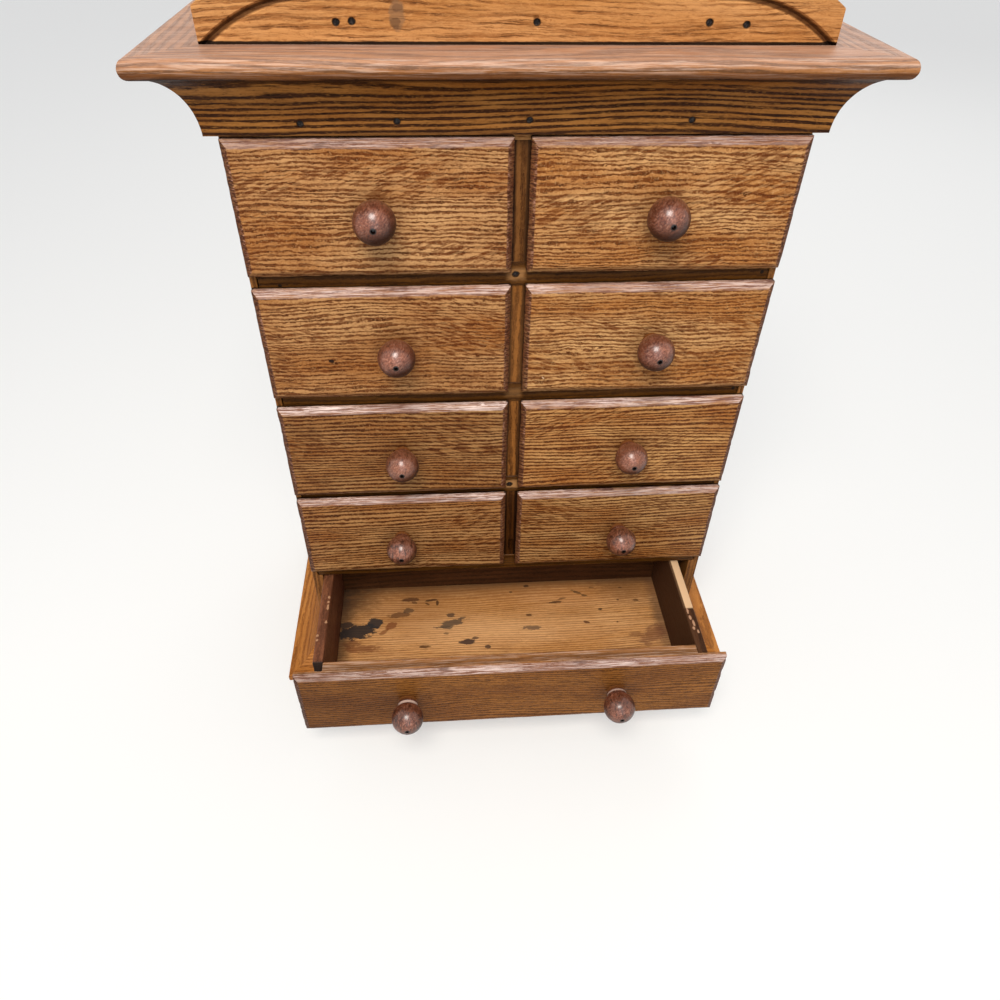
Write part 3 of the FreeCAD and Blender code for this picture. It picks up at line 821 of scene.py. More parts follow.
@dataclass(frozen=True)
class BlackIron:
    """Old brad heads, nearly black with brown rust."""

    iron: str = "#0d0a09"
    rust: str = "#21130c"

    def build(self, name: str) -> bpy.types.Material:
        """Make the material of the brads.

        Args:
            name: Name of the material.

        Returns:
            The finished material.
        """
        shader = Shader(name)
        cloud = RUST.sample(shader, shader.axes)
        grit = RUST_GRIT.sample(shader, shader.axes)
        colour = shader.paint(srgb(self.iron), cloud.rise(0.42, 0.62), self.rust)
        return shader.close({"Base Color": colour, "Roughness": grit * 0.3 + 0.5,
                             "Metallic": cloud.rise(0.62, 0.45) * 0.6}, grit, 0.08)


# Meshes

def edge_stops(length: float, radius: float, step: float,
               extra: Sequence[float] = ()) -> np.ndarray:
    """Grid positions along a side, close together at its rounded ends.

    Args:
        length: Length of the side.
        radius: Radius of its rounded ends.
        step: Widest spacing in between.
        extra: More positions, mirrored about the middle.

    Returns:
        The sorted positions.
    """
    inner = max(2, int(round((length - 2 * radius) / step)) + 1)
    near = [0.0, 0.3 * radius, radius, *extra]
    stops = near + [length - value for value in near]
    stops += list(np.linspace(radius, length - radius, inner))
    ordered = np.unique(np.round(np.array(stops), 4))
    keep = [ordered[0]]
    for value in ordered[1:]:
        if value - keep[-1] > 0.08:
            keep.append(value)
    keep[-1] = length
    return np.array(keep)


def lattice_shell(stops: Sequence[np.ndarray]) -> tuple[np.ndarray, np.ndarray]:
    """Points and outward quads over the surface of a block.

    Args:
        stops: Grid positions along each axis.

    Returns:
        The points and the quads.
    """
    counts = [len(line) for line in stops]
    keys = np.arange(counts[0] * counts[1] * counts[2]).reshape(counts)
    quads = []
    for axis in range(3):
        for end in (0, -1):
            sheet = np.take(keys, end, axis=axis)
            corners = [sheet[:-1, :-1], sheet[1:, :-1], sheet[1:, 1:], sheet[:-1, 1:]]
            quad = np.stack(corners, axis=-1).reshape(-1, 4)
            outward = (end == -1) != (axis == 1)
            quads.append(quad if outward else quad[:, ::-1])
    used, index = np.unique(np.concatenate(quads), return_inverse=True)
    places = np.unravel_index(used, counts)
    points = np.stack([stops[axis][places[axis]] for axis in range(3)], axis=1)
    return points, index.reshape(-1, 4)


def rounded(points: np.ndarray, low: np.ndarray, high: np.ndarray, radius: float) -> np.ndarray:
    """Pull points of a block's surface onto rounded edges.

    Args:
        points: The points.
        low: Low corner of the block.
        high: High corner of the block.
        radius: Radius of the edges.

    Returns:
        The moved points.
    """
    inner = np.clip(points, low + radius, high - radius)
    away = points - inner
    length = np.linalg.norm(away, axis=1)
    share = np.where(length > 1e-9, radius / np.maximum(length, 1e-9), 0.0)
    return inner + away * share[:, None]


def dented(points: np.ndarray, low: np.ndarray, high: np.ndarray, seed: int, depth: float,
           reach: float = 1.2) -> np.ndarray:
    """Points with worn hollows along the edges of their block.

    Args:
        points: Points on the block's surface.
        low: Low corner of the block.
        high: High corner of the block.
        seed: Picks the places of the hollows.
        depth: Depth of the deepest hollow.
        reach: How near an edge a point has to lie.

    Returns:
        The moved points.
    """
    moved = points.copy()
    middle = (low + high) / 2
    close = ((points - low) < reach).astype(int) + ((high - points) < reach).astype(int)
    for index in np.nonzero(close.sum(axis=1) >= 2)[0]:
        spot = points[index]
        amount = noise.noise(Vector(spot * 0.11) + Vector((seed * 3.7, 0.0, 0.0)))
        amount += 0.6 * noise.noise(Vector(spot * 0.42) + Vector((0.0, seed * 1.9, 0.0)))
        if amount > 0.05:
            inward = np.sign(middle - spot) * (close[index] > 0)
            moved[index] += inward * depth * min(1.0, amount)
    return moved


def piece(name: str, points: np.ndarray, faces: Iterable[Sequence[int]],
          sharp: float = 32.0) -> bpy.types.Object:
    """An object from points in millimetres.

    Args:
        name: Name of the object.
        points: The mesh's points.
        faces: Its faces.
        sharp: Angle in degrees above which an edge stays crisp.

    Returns:
        The object, linked to the scene.
    """
    mesh = bpy.data.meshes.new(name)
    loops = [list(map(int, face)) for face in faces]
    mesh.from_pydata((np.asarray(points) * MM).tolist(), [], loops)
    mesh.validate()
    mesh.shade_smooth()
    mesh.set_sharp_from_angle(angle=math.radians(sharp))
    made = bpy.data.objects.new(name, mesh)
    bpy.context.scene.collection.objects.link(made)
    return made


def merged(parts: Sequence[tuple[np.ndarray, Any]]) -> tuple[np.ndarray, list[list[int]]]:
    """Several shells as one.

    Args:
        parts: Points and faces of each shell.

    Returns:
        All points and all faces.
    """
    points: list[np.ndarray] = []
    faces: list[list[int]] = []
    start = 0
    for shell, loops in parts:
        points.append(np.asarray(shell))
        faces += [[int(i) + start for i in loop] for loop in loops]
        start += len(shell)
    return np.concatenate(points), faces


def round_bar(x: float, z: float, y_low: float, y_high: float, radius: float,
              corners: int = 28) -> tuple[np.ndarray, list[list[int]]]:
    """A round bar along Y.

    Args:
        x: Place of its axis.
        z: Height of its axis.
        y_low: Where it starts.
        y_high: Where it ends.
        radius: Its radius.
        corners: Number of its corners.

    Returns:
        Its points and faces.
    """
    turns = [2 * math.pi * i / corners for i in range(corners)]
    points = [(x + radius * math.cos(turn), y, z + radius * math.sin(turn))
              for y in (y_low, y_high) for turn in turns]
    faces = [[i, corners + i, corners + (i + 1) % corners, (i + 1) % corners]
             for i in range(corners)]
    faces += [list(range(corners)), list(range(corners, 2 * corners))[::-1]]
    return np.array(points), faces


def combined(target: bpy.types.Object, tool: bpy.types.Object, joining: Joining) -> None:
    """Apply one boolean to target and delete the tool.

    Args:
        target: The object that is changed.
        tool: The object that is added or taken away.
        joining: The way of combining them.
    """
    change = target.modifiers.new("shape", "BOOLEAN")
    change.operation = joining.value
    change.solver = "EXACT"
    change.object = tool
    seen = bpy.context.evaluated_depsgraph_get()
    mesh = bpy.data.meshes.new_from_object(target.evaluated_get(seen))
    target.modifiers.clear()
    target.data = mesh
    bpy.data.objects.remove(tool)


def settle(made: bpy.types.Object, material: bpy.types.Material, body: str, slot: str,
           *nodes: str) -> bpy.types.Object:
    """Dress a new piece and tie it to its body.

    Args:
        made: The piece.
        material: Its material.
        body: The body that it rides.
        slot: Name of its finish; not used.
        nodes: CAD nodes that it stands for.

    Returns:
        The piece.
    """
    made.data.materials.clear()
    made.data.materials.append(material)
    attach(made, body)
    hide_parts(*nodes)
    LOG.info("%s built on %s", made.name, body)
    return made


def dress(node: str, material: bpy.types.Material, arris: float = 0.35) -> None:
    """Give a CAD node its material and softened arrises.

    Args:
        node: Name of the node.
        material: Its material.
        arris: Width of the softened arris; 0 leaves the node as it is.
    """
    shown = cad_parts[node]
    shown.data.materials.clear()
    shown.data.materials.append(material)
    if arris > 0.0:
        weld = shown.modifiers.new("weld", "WELD")
        weld.merge_threshold = 0.00001
        soften = shown.modifiers.new("arris", "BEVEL")
        soften.width = arris * MM
        soften.segments = 2
        soften.limit_method = "ANGLE"
        soften.angle_limit = math.radians(35.0)
        soften.use_clamp_overlap = True
        weighted = shown.modifiers.new("shading", "WEIGHTED_NORMAL")
        weighted.keep_sharp = True
    LOG.info("%s dressed", node)


# Knobs

@dataclass
class Knob:
    """A turned ball knob with a neck, a collar, a tenon and a small hole at its pole.

    Args:
        x: Place of its axis.
        z: Height of its axis.
        face: Where the drawer's face lies along Y.
        seed: Picks its wear.
        radius: Radius of the ball.
        collar: Radius of the collar on the drawer's face.
        neck: Radius of the neck behind the ball.
        segments: Number of points round the axis.
        rings: Number of bands on the ball.
        swell: Height of its flats.
        tool_marks: Height of its turning marks.
    """

    x: float
    z: float
    face: float
    seed: int
    radius: float = KNOB_RADIUS
    collar: float = KNOB_COLLAR
    neck: float = KNOB_NECK
    segments: int = 56
    rings: int = 26
    swell: float = 0.16
    tool_marks: float = 0.05

    def outline(self) -> list[tuple[float, float]]:
        """Half section of the knob, from the tenon's end to the hole's floor.

        Returns:
            Distances from the drawer's face, each with its radius.
        """
        points = [(-TENON_LENGTH, 0.0), (-TENON_LENGTH, TENON_RADIUS), (0.0, TENON_RADIUS),
                  (0.02, self.collar - 0.2), (0.25, self.collar), (0.75, self.collar),
                  (1.1, KNOB_NECK + 0.2), (1.7, KNOB_NECK + 0.1), (2.2, self.neck)]
        start = math.asin(self.neck / self.radius)
        end = math.pi - math.asin(KNOB_HOLE / self.radius)
        for step in range(self.rings + 1):
            angle = start + (end - start) * step / self.rings
            points.append((KNOB_CENTRE - self.radius * math.cos(angle),
                           self.radius * math.sin(angle)))
        pole = points[-1][0]
        points += [(pole - 0.35, KNOB_HOLE - 0.15), (pole - KNOB_HOLE_DEPTH, KNOB_HOLE - 0.2),
                   (pole - KNOB_HOLE_DEPTH - 0.5, 0.0)]
        return points

    def worn(self, distance: float, radius: float, angle: float) -> float:
        """Radius at one place of the surface, with slight flats and tool marks.

        Args:
            distance: Distance from the drawer's face.
            radius: Radius of the outline there.
            angle: Turn about the axis.

        Returns:
            The worn radius.
        """
        if distance <= 2.0 or radius <= KNOB_HOLE:
            return radius
        spot = Vector((math.cos(angle) * radius, distance, math.sin(angle) * radius))
        wear = noise.noise(spot * 0.16 + Vector((self.seed * 2.3, 0.0, 0.0))) * self.swell
        wear += noise.noise(spot * 0.7 + Vector((0.0, 0.0, self.seed))) * self.tool_marks
        return radius + wear

    def build(self, name: str) -> bpy.types.Object:
        """Turn the outline about the knob's axis.

        Args:
            name: Name of the piece.

        Returns:
            The piece.
        """
        outline = self.outline()
        points = [(self.x, self.face - outline[0][0], self.z)]
        for distance, radius in outline[1:-1]:
            for turn in range(self.segments):
                angle = 2 * math.pi * turn / self.segments
                wide = self.worn(distance, radius, angle)
                points.append((self.x + math.cos(angle) * wide, self.face - distance,
                               self.z + math.sin(angle) * wide))
        points.append((self.x, self.face - outline[-1][0], self.z))
        rings = len(outline) - 2
        faces = []
        for turn in range(self.segments):
            following = (turn + 1) % self.segments
            faces.append([0, 1 + following, 1 + turn])
            for ring in range(rings - 1):
                first = 1 + ring * self.segments
                second = first + self.segments
                faces.append([first + turn, first + following, second + following, second + turn])
            last = 1 + (rings - 1) * self.segments
            faces.append([last + turn, last + following, len(points) - 1])
        return piece(name, np.array(points), faces, 38.0)


# Drawers

@dataclass
class DrawerFront:
    """A lipped oak front: bevelled plate, inner block and knob sockets.

    Args:
        node: The CAD node of the front.
        body: The drawer's body.
        knobs: Knob nodes of this front.
        finish: The front's oak.
        seed: Picks its grain and its wear.
        tint: Colour that the oak is multiplied by.
        spots: Marks on its face.
        glare_share: Share of the painted glare on its top bevel.
        seam: How dark the painted shade in the gaps behind, under and beside its lip is.
        arris: Radius of its edges.
        step: Widest spacing of its grid.
        dent: Depth of the deepest hollow in its edges.
        dent_reach: How near an edge the hollows lie.
        box: Its place.
    """

    node: str
    body: str
    knobs: Sequence[str]
    finish: Oak
    seed: int
    tint: str = "#ffffff"
    spots: Sequence[Spot] = ()
    glare_share: float = 1.0
    seam: float = 1.0
    arris: float = 0.45
    step: float = 1.6
    dent: float = 0.38
    dent_reach: float = 0.9
    box: Box = field(init=False)

    def __post_init__(self) -> None:
        """Read the front's place from the frame."""
        self.box = Box.of(self.node)

    def knob_places(self) -> list[tuple[float, float]]:
        """Axis of each knob as (x, z)."""
        middles = [Box.of(knob).middle for knob in self.knobs]
        return [(float(middle[0]), float(middle[2])) for middle in middles]

    def plate(self) -> bpy.types.Object:
        """Build the lip with its bevelled face and worn arrises.

        Returns:
            The plate.
        """
        low = self.box.low + np.array([0.0, BEVEL_DEPTH, 0.0])
        high = self.box.high.copy()
        high[1] = self.box.low[1] + LIP_THICKNESS
        size = high - low
        stops = [edge_stops(size[0], self.arris, self.step, [BEVEL_SIDE * s for s in BEVEL_GRID]),
                 edge_stops(size[1], self.arris, 2.0),
                 edge_stops(size[2], self.arris, self.step, [BEVEL_TOP * s for s in BEVEL_GRID])]
        points, quads = lattice_shell(stops)
        points = points + low
        facing = points[:, 1] < low[1] + 1e-6
        flat = points.copy()
        points = rounded(points, low, high, self.arris)
        points = dented(points, low, high, self.seed, self.dent, self.dent_reach)
        for index in np.nonzero(facing)[0]:
            points[index, 1] -= self.lift(flat[index])
        return piece(self.node + "_worn", points, quads, 50.0)

    def lift(self, spot: np.ndarray) -> float:
        """How far a point of the face stands out from the bevel's foot.

        Args:
            spot: The point on the flat face.

        Returns:
            The height, with a slightly uneven bevel line and a faintly cupped face.
        """
        x, _, z = spot
        uneven = noise.noise(Vector((x * 0.035, self.seed * 5.1, z * 0.035)))
        uneven += 0.35 * noise.noise(Vector((x * 0.16, self.seed * 2.2, z * 0.16)))
        wide = 1.0 + 0.16 * uneven
        gap_x = min(x - self.box.low[0], self.box.high[0] - x) / (BEVEL_SIDE * wide)
        gap_z = min(z - self.box.low[2], self.box.high[2] - z) / (BEVEL_TOP * wide)
        share = min(gap_x, gap_z)
        soft = 0.06
        over = float(np.logaddexp(0.0, (share - 1.0) / soft)) * soft
        cup = 0.0
        if share > 1.0:
            cup = 0.10 * noise.noise(Vector((x * 0.012, self.seed * 1.3, z * 0.02)))
        return BEVEL_DEPTH * max(0.0, share - over) - abs(cup) * min(1.0, share - 1.0)

    def block(self) -> tuple[np.ndarray, np.ndarray]:
        """The inner block between the drawer's sides.

        Returns:
            Its points and faces.
        """
        inner = self.inner_block()
        stops = [edge_stops(size, BLOCK_ARRIS, 12.0) for size in inner.high - inner.low]
        points, quads = lattice_shell(stops)
        return rounded(points + inner.low, inner.low, inner.high, BLOCK_ARRIS), quads

    def inner_block(self) -> Box:
        """Corners of the inner block, let 1 mm into the plate.

        Returns:
            The block's box.
        """
        floor = Box.of(self.node.replace("front", "bottom"))
        back = Box.of(self.node.replace("front", "back" if self.body == "wide_drawer" else "walls"))
        low = np.array([floor.low[0], self.box.low[1] + LIP_THICKNESS - 1.0, floor.low[2]])
        high = np.array([floor.high[0], self.box.high[1], back.high[2]])
        return Box(low, high)

    def build(self) -> bpy.types.Object:
        """Build and dress the front and its knobs.

        Returns:
            The front.
        """
        front = self.plate()
        block = piece(self.node + "_block", *self.block())
        combined(front, block, Joining.ADD)
        face = float(self.box.low[1])
        for x, z in self.knob_places():
            bar = round_bar(x, z, face - 3.0, face + TENON_LENGTH + SOCKET_GAP,
                            TENON_RADIUS + SOCKET_GAP)
            combined(front, piece("socket", *bar), Joining.CUT)
        wood = WoodShader(self.finish, Grain.ALONG_X, self.seed, spots=self.spots,
                          front=self.box, halos=self.knob_places(), glare_share=self.glare_share,
                          seam=self.seam, tint=self.tint)
        settle(front, wood.build(self.node), self.body, "front_oak", self.node)
        for number, (knob, (x, z)) in enumerate(zip(self.knobs, self.knob_places())):
            self.build_knob(knob, x, z, face, self.seed * 7 + number)
        return front

    def build_knob(self, node: str, x: float, z: float, face: float, seed: int) -> None:
        """Turn and dress one knob.

        Args:
            node: CAD node of the knob.
            x: Place of its axis.
            z: Height of its axis.
            face: Where the drawer's face lies along Y.
            seed: Picks its wood and its wear.
        """
        row = node[:4]
        shape = (KNOB_COLLAR, WIDE_KNOB_NECK) if row == "wide" else (KNOB_NECK + 0.3, KNOB_NECK)
        made = Knob(x, z, face, seed, KNOB_SIZES[row], *shape).build(node + "_turned")
        wood = KnobWood(base=KNOB_BASES[row], streaked=node in STREAKED_KNOBS,
                        ring=KNOB_RINGS.get(node, (0.0, 0.0, 0.0)))
        material = wood.build(node, np.array([x, face - KNOB_CENTRE, z]), seed)
        settle(made, material, self.body, "knob_wood", node)


KNOB_BASES = {"row1": "#6b3622", "row2": "#763f2b", "row3": "#8a5238", "row4": "#824b33",
              "wide": "#6f3a25"}
KNOB_SIZES = {"row1": 10.1, "row2": 9.85, "row3": 9.55, "row4": 9.55, "wide": 9.85}
KNOB_RINGS = {"row4_right_knob": (5.9, 7.9, 0.7), "wide_knob_left": (7.5, 9.3, 0.85),
              "wide_knob_right": (8.6, 9.7, 0.6)}
STREAKED_KNOBS = ("row4_left_knob", "row4_right_knob", "wide_knob_left", "wide_knob_right")


# Mouldings

@dataclass
class Moulding:
    """A cove moulding in three mitred lengths.

    Args:
        stem: First word of its nodes: crown or base.
        profile: Outline as (offset from the case, z).
        finish: Its oak.
        seed: Picks its grain and wear.
        nails: Places of the brads in its front length, as (x, z).
        shade: Bands that run along it: painted shade and a painted sheen.
        seam: Width of half a mitre's seam.
        step: Spacing of its sections.
        wear: Depth of its wear.
    """

    stem: str
    profile: list[tuple[float, float]]
    finish: Oak
    seed: int
    nails: Sequence[tuple[float, float]] = ()
    shade: Sequence[Spot] = ()
    seam: float = 0.07
    step: float = 3.0
    wear: tuple[float, float] = (0.22, 0.08)

    def worn(self, offset: float, z: float, run: float, salt: float) -> tuple[float, float]:
        """A profile point with a little wear that changes along the length.

        Args:
            offset: Distance from the case.
            z: Height.
            run: Place along the length.
            salt: Changes the wear from one length to the next.

        Returns:
            The worn offset and the height.
        """
        if offset < 0.5:
            return offset, z
        spot = Vector((run * 0.03, z * 0.2 + offset * 0.2, self.seed * 3.1 + salt))
        amount = noise.noise(spot) * self.wear[0] + noise.noise(spot * 5.0) * self.wear[1]
        return offset - abs(amount), z

    def sweep(self, name: str, place: Placing, length: float, salt: float,
              turned: bool = False) -> bpy.types.Object:
        """Sweep the profile along one length.

        Args:
            name: Name of the piece.
            place: Turns offset, z and a share of the length into a point.
            length: The length, for the spacing of the sections.
            salt: Changes the wear from one length to the next.
            turned: True where the faces have to be turned over.

        Returns:
            The piece.
        """
        sections = int(length / self.step)
        count = len(self.profile)
        points = []
        for index in range(sections + 1):
            share = index / sections
            for offset, z in self.profile:
                points.append(place(*self.worn(offset, z, share * length, salt), share))
        faces = []
        for index in range(sections):
            for corner in range(count):
                following = (corner + 1) % count
                start = index * count
                faces.append([start + corner, start + following, start + count + following,
                              start + count + corner])
        faces.append(list(range(count))[::-1])
        faces.append([sections * count + corner for corner in range(count)])
        if turned:
            faces = [face[::-1] for face in faces]
        return piece(name, np.array(points), faces, 40.0)

    def front_point(self, offset: float, z: float, share: float) -> Place:
        """A point of the front length, mitred at both ends."""
        reach = HALF_WIDTH + offset - self.seam
        return (reach * (1 - 2 * share), FRONT_PLANE - offset, z)

    def side_point(self, side: int) -> Placing:
        """The placing of a side length, mitred at the front and square at the back.

        Args:
            side: -1 for the left side, 1 for the right.

        Returns:
            Turns offset, z and a share of the length into a point.
        """
        def place(offset: float, z: float, share: float) -> Place:
            """A point of the side length.

            Args:
                offset: Distance from the case.
                z: Height.
                share: Share of the length.

            Returns:
                The point.
            """
            start = FRONT_PLANE - offset + self.seam
            run = share if side > 0 else 1 - share
            return (side * (HALF_WIDTH + offset), start + (BACK_PLANE - start) * run, z)
        return place

    def build(self) -> None:
        """Build and dress the three lengths."""
        front = self.sweep(self.stem + "_front_worn", self.front_point, 2 * HALF_WIDTH, 0.0)
        if self.nails:
            bars = []
            for x, z in self.nails:
                surface = FRONT_PLANE - offset_at(self.profile, z)
                bars.append(nail_seat(x, z, surface))
            combined(front, piece("nail_seats", *merged(bars)), Joining.CUT)
        marks = [*self.shade, *nail_marks(self.nails)]
        wood = WoodShader(self.finish, Grain.ALONG_X, self.seed, spots=marks)
        node = self.stem + "_front"
        settle(front, wood.build(node), "case", "moulding_oak", node)
        for name, side in SIDES:
            node = "%s_%s" % (self.stem, name)
            made = self.sweep(node + "_worn", self.side_point(side), BACK_PLANE - FRONT_PLANE,
                              side * 9.0, True)
            wood = WoodShader(self.finish, Grain.ALONG_Y, self.seed + 3 + side,
                              face_axes=(1, 2), spots=self.shade)
            settle(made, wood.build(node), "case", "moulding_oak", node)


def nail_seat(x: float, z: float, surface: float) -> tuple[np.ndarray, list[list[int]]]:
    """The round hollow under a brad's head in a surface that faces the front."""
    return round_bar(x, z, surface - 4.0, surface + NAIL_SEAT, NAIL_HEAD_RADIUS)


def nail_marks(places: Sequence[tuple[float, float]]) -> list[Spot]:
    """Dark rims round brad heads."""
    return [Spot((x, z), (1.65, 1.5), "#1c0f08", 0.9, 0.15) for x, z in places]


def offset_at(profile: Sequence[tuple[float, float]], height: float) -> float:
    """Offset of a cove's face at a height.

    Args:
        profile: The moulding's outline as (offset, z).
        height: The height.

    Returns:
        The offset from the case.
    """
    face = [(z, offset) for offset, z in profile if offset > 0.5]
    for (z_low, first), (z_high, second) in zip(face, face[1:]):
        if min(z_low, z_high) <= height <= max(z_low, z_high) and z_low != z_high:
            return first + (second - first) * (height - z_low) / (z_high - z_low)
    return face[0][1]


def cove(projection: float, height: float, thin: float,
         steps: int = 20) -> list[tuple[float, float]]:
    """A quarter ellipse as (offset, rise), from its thin edge to its lip.

    Args:
        projection: Offset of its lip.
        height: Its height.
        thin: Offset of its thin edge.
        steps: Number of its facets.

    Returns:
        Its points.
    """
    angles = [math.pi / 2 * step / steps for step in range(steps + 1)]
    return [(thin + (projection - thin) * (1 - math.cos(a)), height * math.sin(a))
            for a in angles]


def crown_profile() -> list[tuple[float, float]]:
    """Outline of the crown: cove below, rounded nose on top.

    Returns:
        The outline as (offset, z).
    """
    box = Box.of("crown_front")
    low, high = float(box.low[2]), float(box.high[2])
    reach = FRONT_PLANE - float(box.low[1])
    nose, round_depth, quirk, thin, steps = 8.0, 2.8, 2.4, 5.3, 12
    points = [(0.0, low)]
    points += [(offset, low + rise)
               for offset, rise in cove(reach - quirk, high - nose - low, thin)]
    middle = high - nose / 2
    for step in range(steps + 1):
        angle = math.pi * (step / steps - 0.5)
        points.append((reach - round_depth * (1 - math.cos(angle)),
                       middle + nose / 2 * math.sin(angle)))
    return points + [(0.0, high)]


def base_profile() -> list[tuple[float, float]]:
    """Outline of the base: upright edge below, cove above it.

    Returns:
        The outline as (offset, z).
    """
    box = Box.of("base_front")
    top = float(box.high[2])
    reach = FRONT_PLANE - float(box.low[1])
    fillet, edge, step_rise, step_back, thin = 5.0, 0.8, 0.5, 1.0, 5.3
    points = [(0.0, 0.0), (reach - edge, 0.0), (reach - 0.2, 0.25), (reach, edge),
              (reach, fillet - step_rise)]
    hollow = cove(reach - step_back, top - fillet, thin)
    points += [(offset, top - rise) for offset, rise in reversed(hollow)]
    return points + [(0.0, top)]


# Crest board

def two_sheets(wide: int, tall: int) -> list[list[int]]:
    """Faces of two like grids of points and of the rim that joins them.

    Args:
        wide: Number of columns of a grid.
        tall: Number of rows of a grid.

    Returns:
        The faces of the closed shell.
    """
    faces = []
    for i in range(wide - 1):
        for j in range(tall - 1):
            quad = [i * tall + j, i * tall + j + 1, (i + 1) * tall + j + 1, (i + 1) * tall + j]
            faces.append(quad)
            faces.append([index + wide * tall for index in reversed(quad)])
    rim = [i * tall for i in range(wide)]
    rim += [(wide - 1) * tall + j for j in range(1, tall)]
    rim += [i * tall + tall - 1 for i in range(wide - 2, -1, -1)]
    rim += [j for j in range(tall - 2, 0, -1)]
    for first, second in zip(rim, rim[1:] + rim[:1]):
        faces.append([first, second, second + wide * tall, first + wide * tall])
    return faces


@dataclass
class CrestBoard:
    """The front board above the crown, with an arched top and a cut line.

    Args:
        finish: Its oak.
        seed: Picks its grain and wear.
        shoulder: Length of each rounded end.
        end_radius: Radius of the rounded ends.
        rise: Rise of the middle.
        inset: Distance of the cut line from the top edge.
        groove_width: Width of the cut line.
        groove_depth: Depth of the cut line.
        arris: Radius of the worn top edge.
        ease: Easing of the top edge at the back.
        columns: Number of columns of its grid.
    """

    finish: Oak
    seed: int
    shoulder: float = 50.5
    end_radius: float = 88.0
    rise: float = 1.6
    inset: float = 12.4
    groove_width: float = 3.6
    groove_depth: float = 2.0
    arris: float = 0.8
    ease: float = 0.6
    columns: int = 109
    box: Box = field(init=False)

    def __post_init__(self) -> None:
        """Read the board's place from the frame."""
        self.box = Box.of("crest_board")

    def height(self, x: float, below: float) -> float:
        """Height of the arch at x, a distance below the top edge.

        Args:
            x: Place along the board.
            below: Distance below the top edge.

        Returns:
            The height.
        """
        flat = HALF_WIDTH - self.shoulder
        beyond = max(0.0, abs(x) - flat)
        radius = self.end_radius - below
        drop = radius - math.sqrt(radius * radius - beyond * beyond)
        crown = self.rise * (1 - min(1.0, (x / flat) ** 2))
        return float(self.box.high[2]) - self.rise - below - drop + crown

    def face_depth(self, below: float, x: float) -> float:
        """How far the front face lies behind its plane: the cut line and the worn top edge.

        Args:
            below: Distance below the top edge.
            x: Place along the board.

        Returns:
            The depth.
        """
        half = self.groove_width / 2
        centre = self.inset + 0.25 * noise.noise(Vector((x * 0.02, self.seed, 0.0)))
        cut = max(0.0, 1.0 - abs(below - centre) / half) * self.groove_depth
        edge = max(0.0, self.arris - below)
        return cut + self.arris - math.sqrt(max(0.0, self.arris ** 2 - edge ** 2))

    def cut_mask(self, shader: Shader) -> Value:
        """Share of painted shade in the cut line, from the depth and the distance to the top edge.

        Args:
            shader: The material in the making.

        Returns:
            The share, from 0 to 1.
        """
        x, y, z = shader.axes
        over = (x.size() - (HALF_WIDTH - self.shoulder)).greater(0.0)
        high = z - (float(self.box.high[2]) - self.end_radius)
        inset = self.end_radius - shader.root(over * over + high.greater(0.0) * high.greater(0.0))
        front = float(self.box.low[1])
        return y.rise(front + 0.15, front + 1.1) * inset.rise(6.0, 8.0) * 0.85

    def rows(self) -> list[tuple[float, float | None]]:
        """Rows of the board's grid, from its top edge to its foot.

        Returns:
            Distances below the top edge, each with its share of the way on to the foot.
        """
        half = self.groove_width / 2
        near = [0.0, 0.25, 0.8, 2.5, 5.0, 7.5, 9.6, self.inset - half - 0.3, self.inset - half,
                self.inset - half / 2, self.inset, self.inset + half / 2, self.inset + half,
                self.inset + half + 0.3, 16.5, 20.0]
        rows = [(below, None) for below in near]
        rows += [(near[-1], share) for share in np.linspace(0.08, 1.0, 16)]
        return rows

    def point(self, x: float, below: float, share: float | None, back: bool) -> Place:
        """A point of the front or the back face.

        Args:
            x: Place along the board.
            below: Distance below the top edge.
            share: Share of the way on to the foot, or None near the top edge.
            back: True for the back face.

        Returns:
            The point.
        """
        z = self.height(x, below)
        if share is not None:
            z += (float(self.box.low[2]) - z) * share
        if back:
            return x, float(self.box.high[1]) - (self.ease if below == 0.0 else 0.0), z
        return x, float(self.box.low[1]) + (self.face_depth(below, x) if share is None else 0.0), z

    def build(self) -> bpy.types.Object:
        """Build and dress the board.

        Returns:
            The board.
        """
        columns, rows = np.linspace(-HALF_WIDTH, HALF_WIDTH, self.columns), self.rows()
        points = [self.point(float(x), below, share, back)
                  for back in (False, True) for x in columns for below, share in rows]
        made = piece("crest_board_worn", np.array(points),
                     two_sheets(len(columns), len(rows)), 40.0)
        front = float(self.box.low[1])
        bars = [nail_seat(x, z, front) for x, z in CREST_NAILS]
        combined(made, piece("nail_seats", *merged(bars)), Joining.CUT)
        marks = [*nail_marks(CREST_NAILS), *CREST_MARKS_AND_SHADE]
        wood = WoodShader(self.finish, Grain.ALONG_X, self.seed, spots=marks,
                          groove=self.cut_mask)
        return settle(made, wood.build("crest_board"), "case", "crest_oak", "crest_board")


CROWN_TOP = float(Box.of("crown_front").high[2])


# Finishes

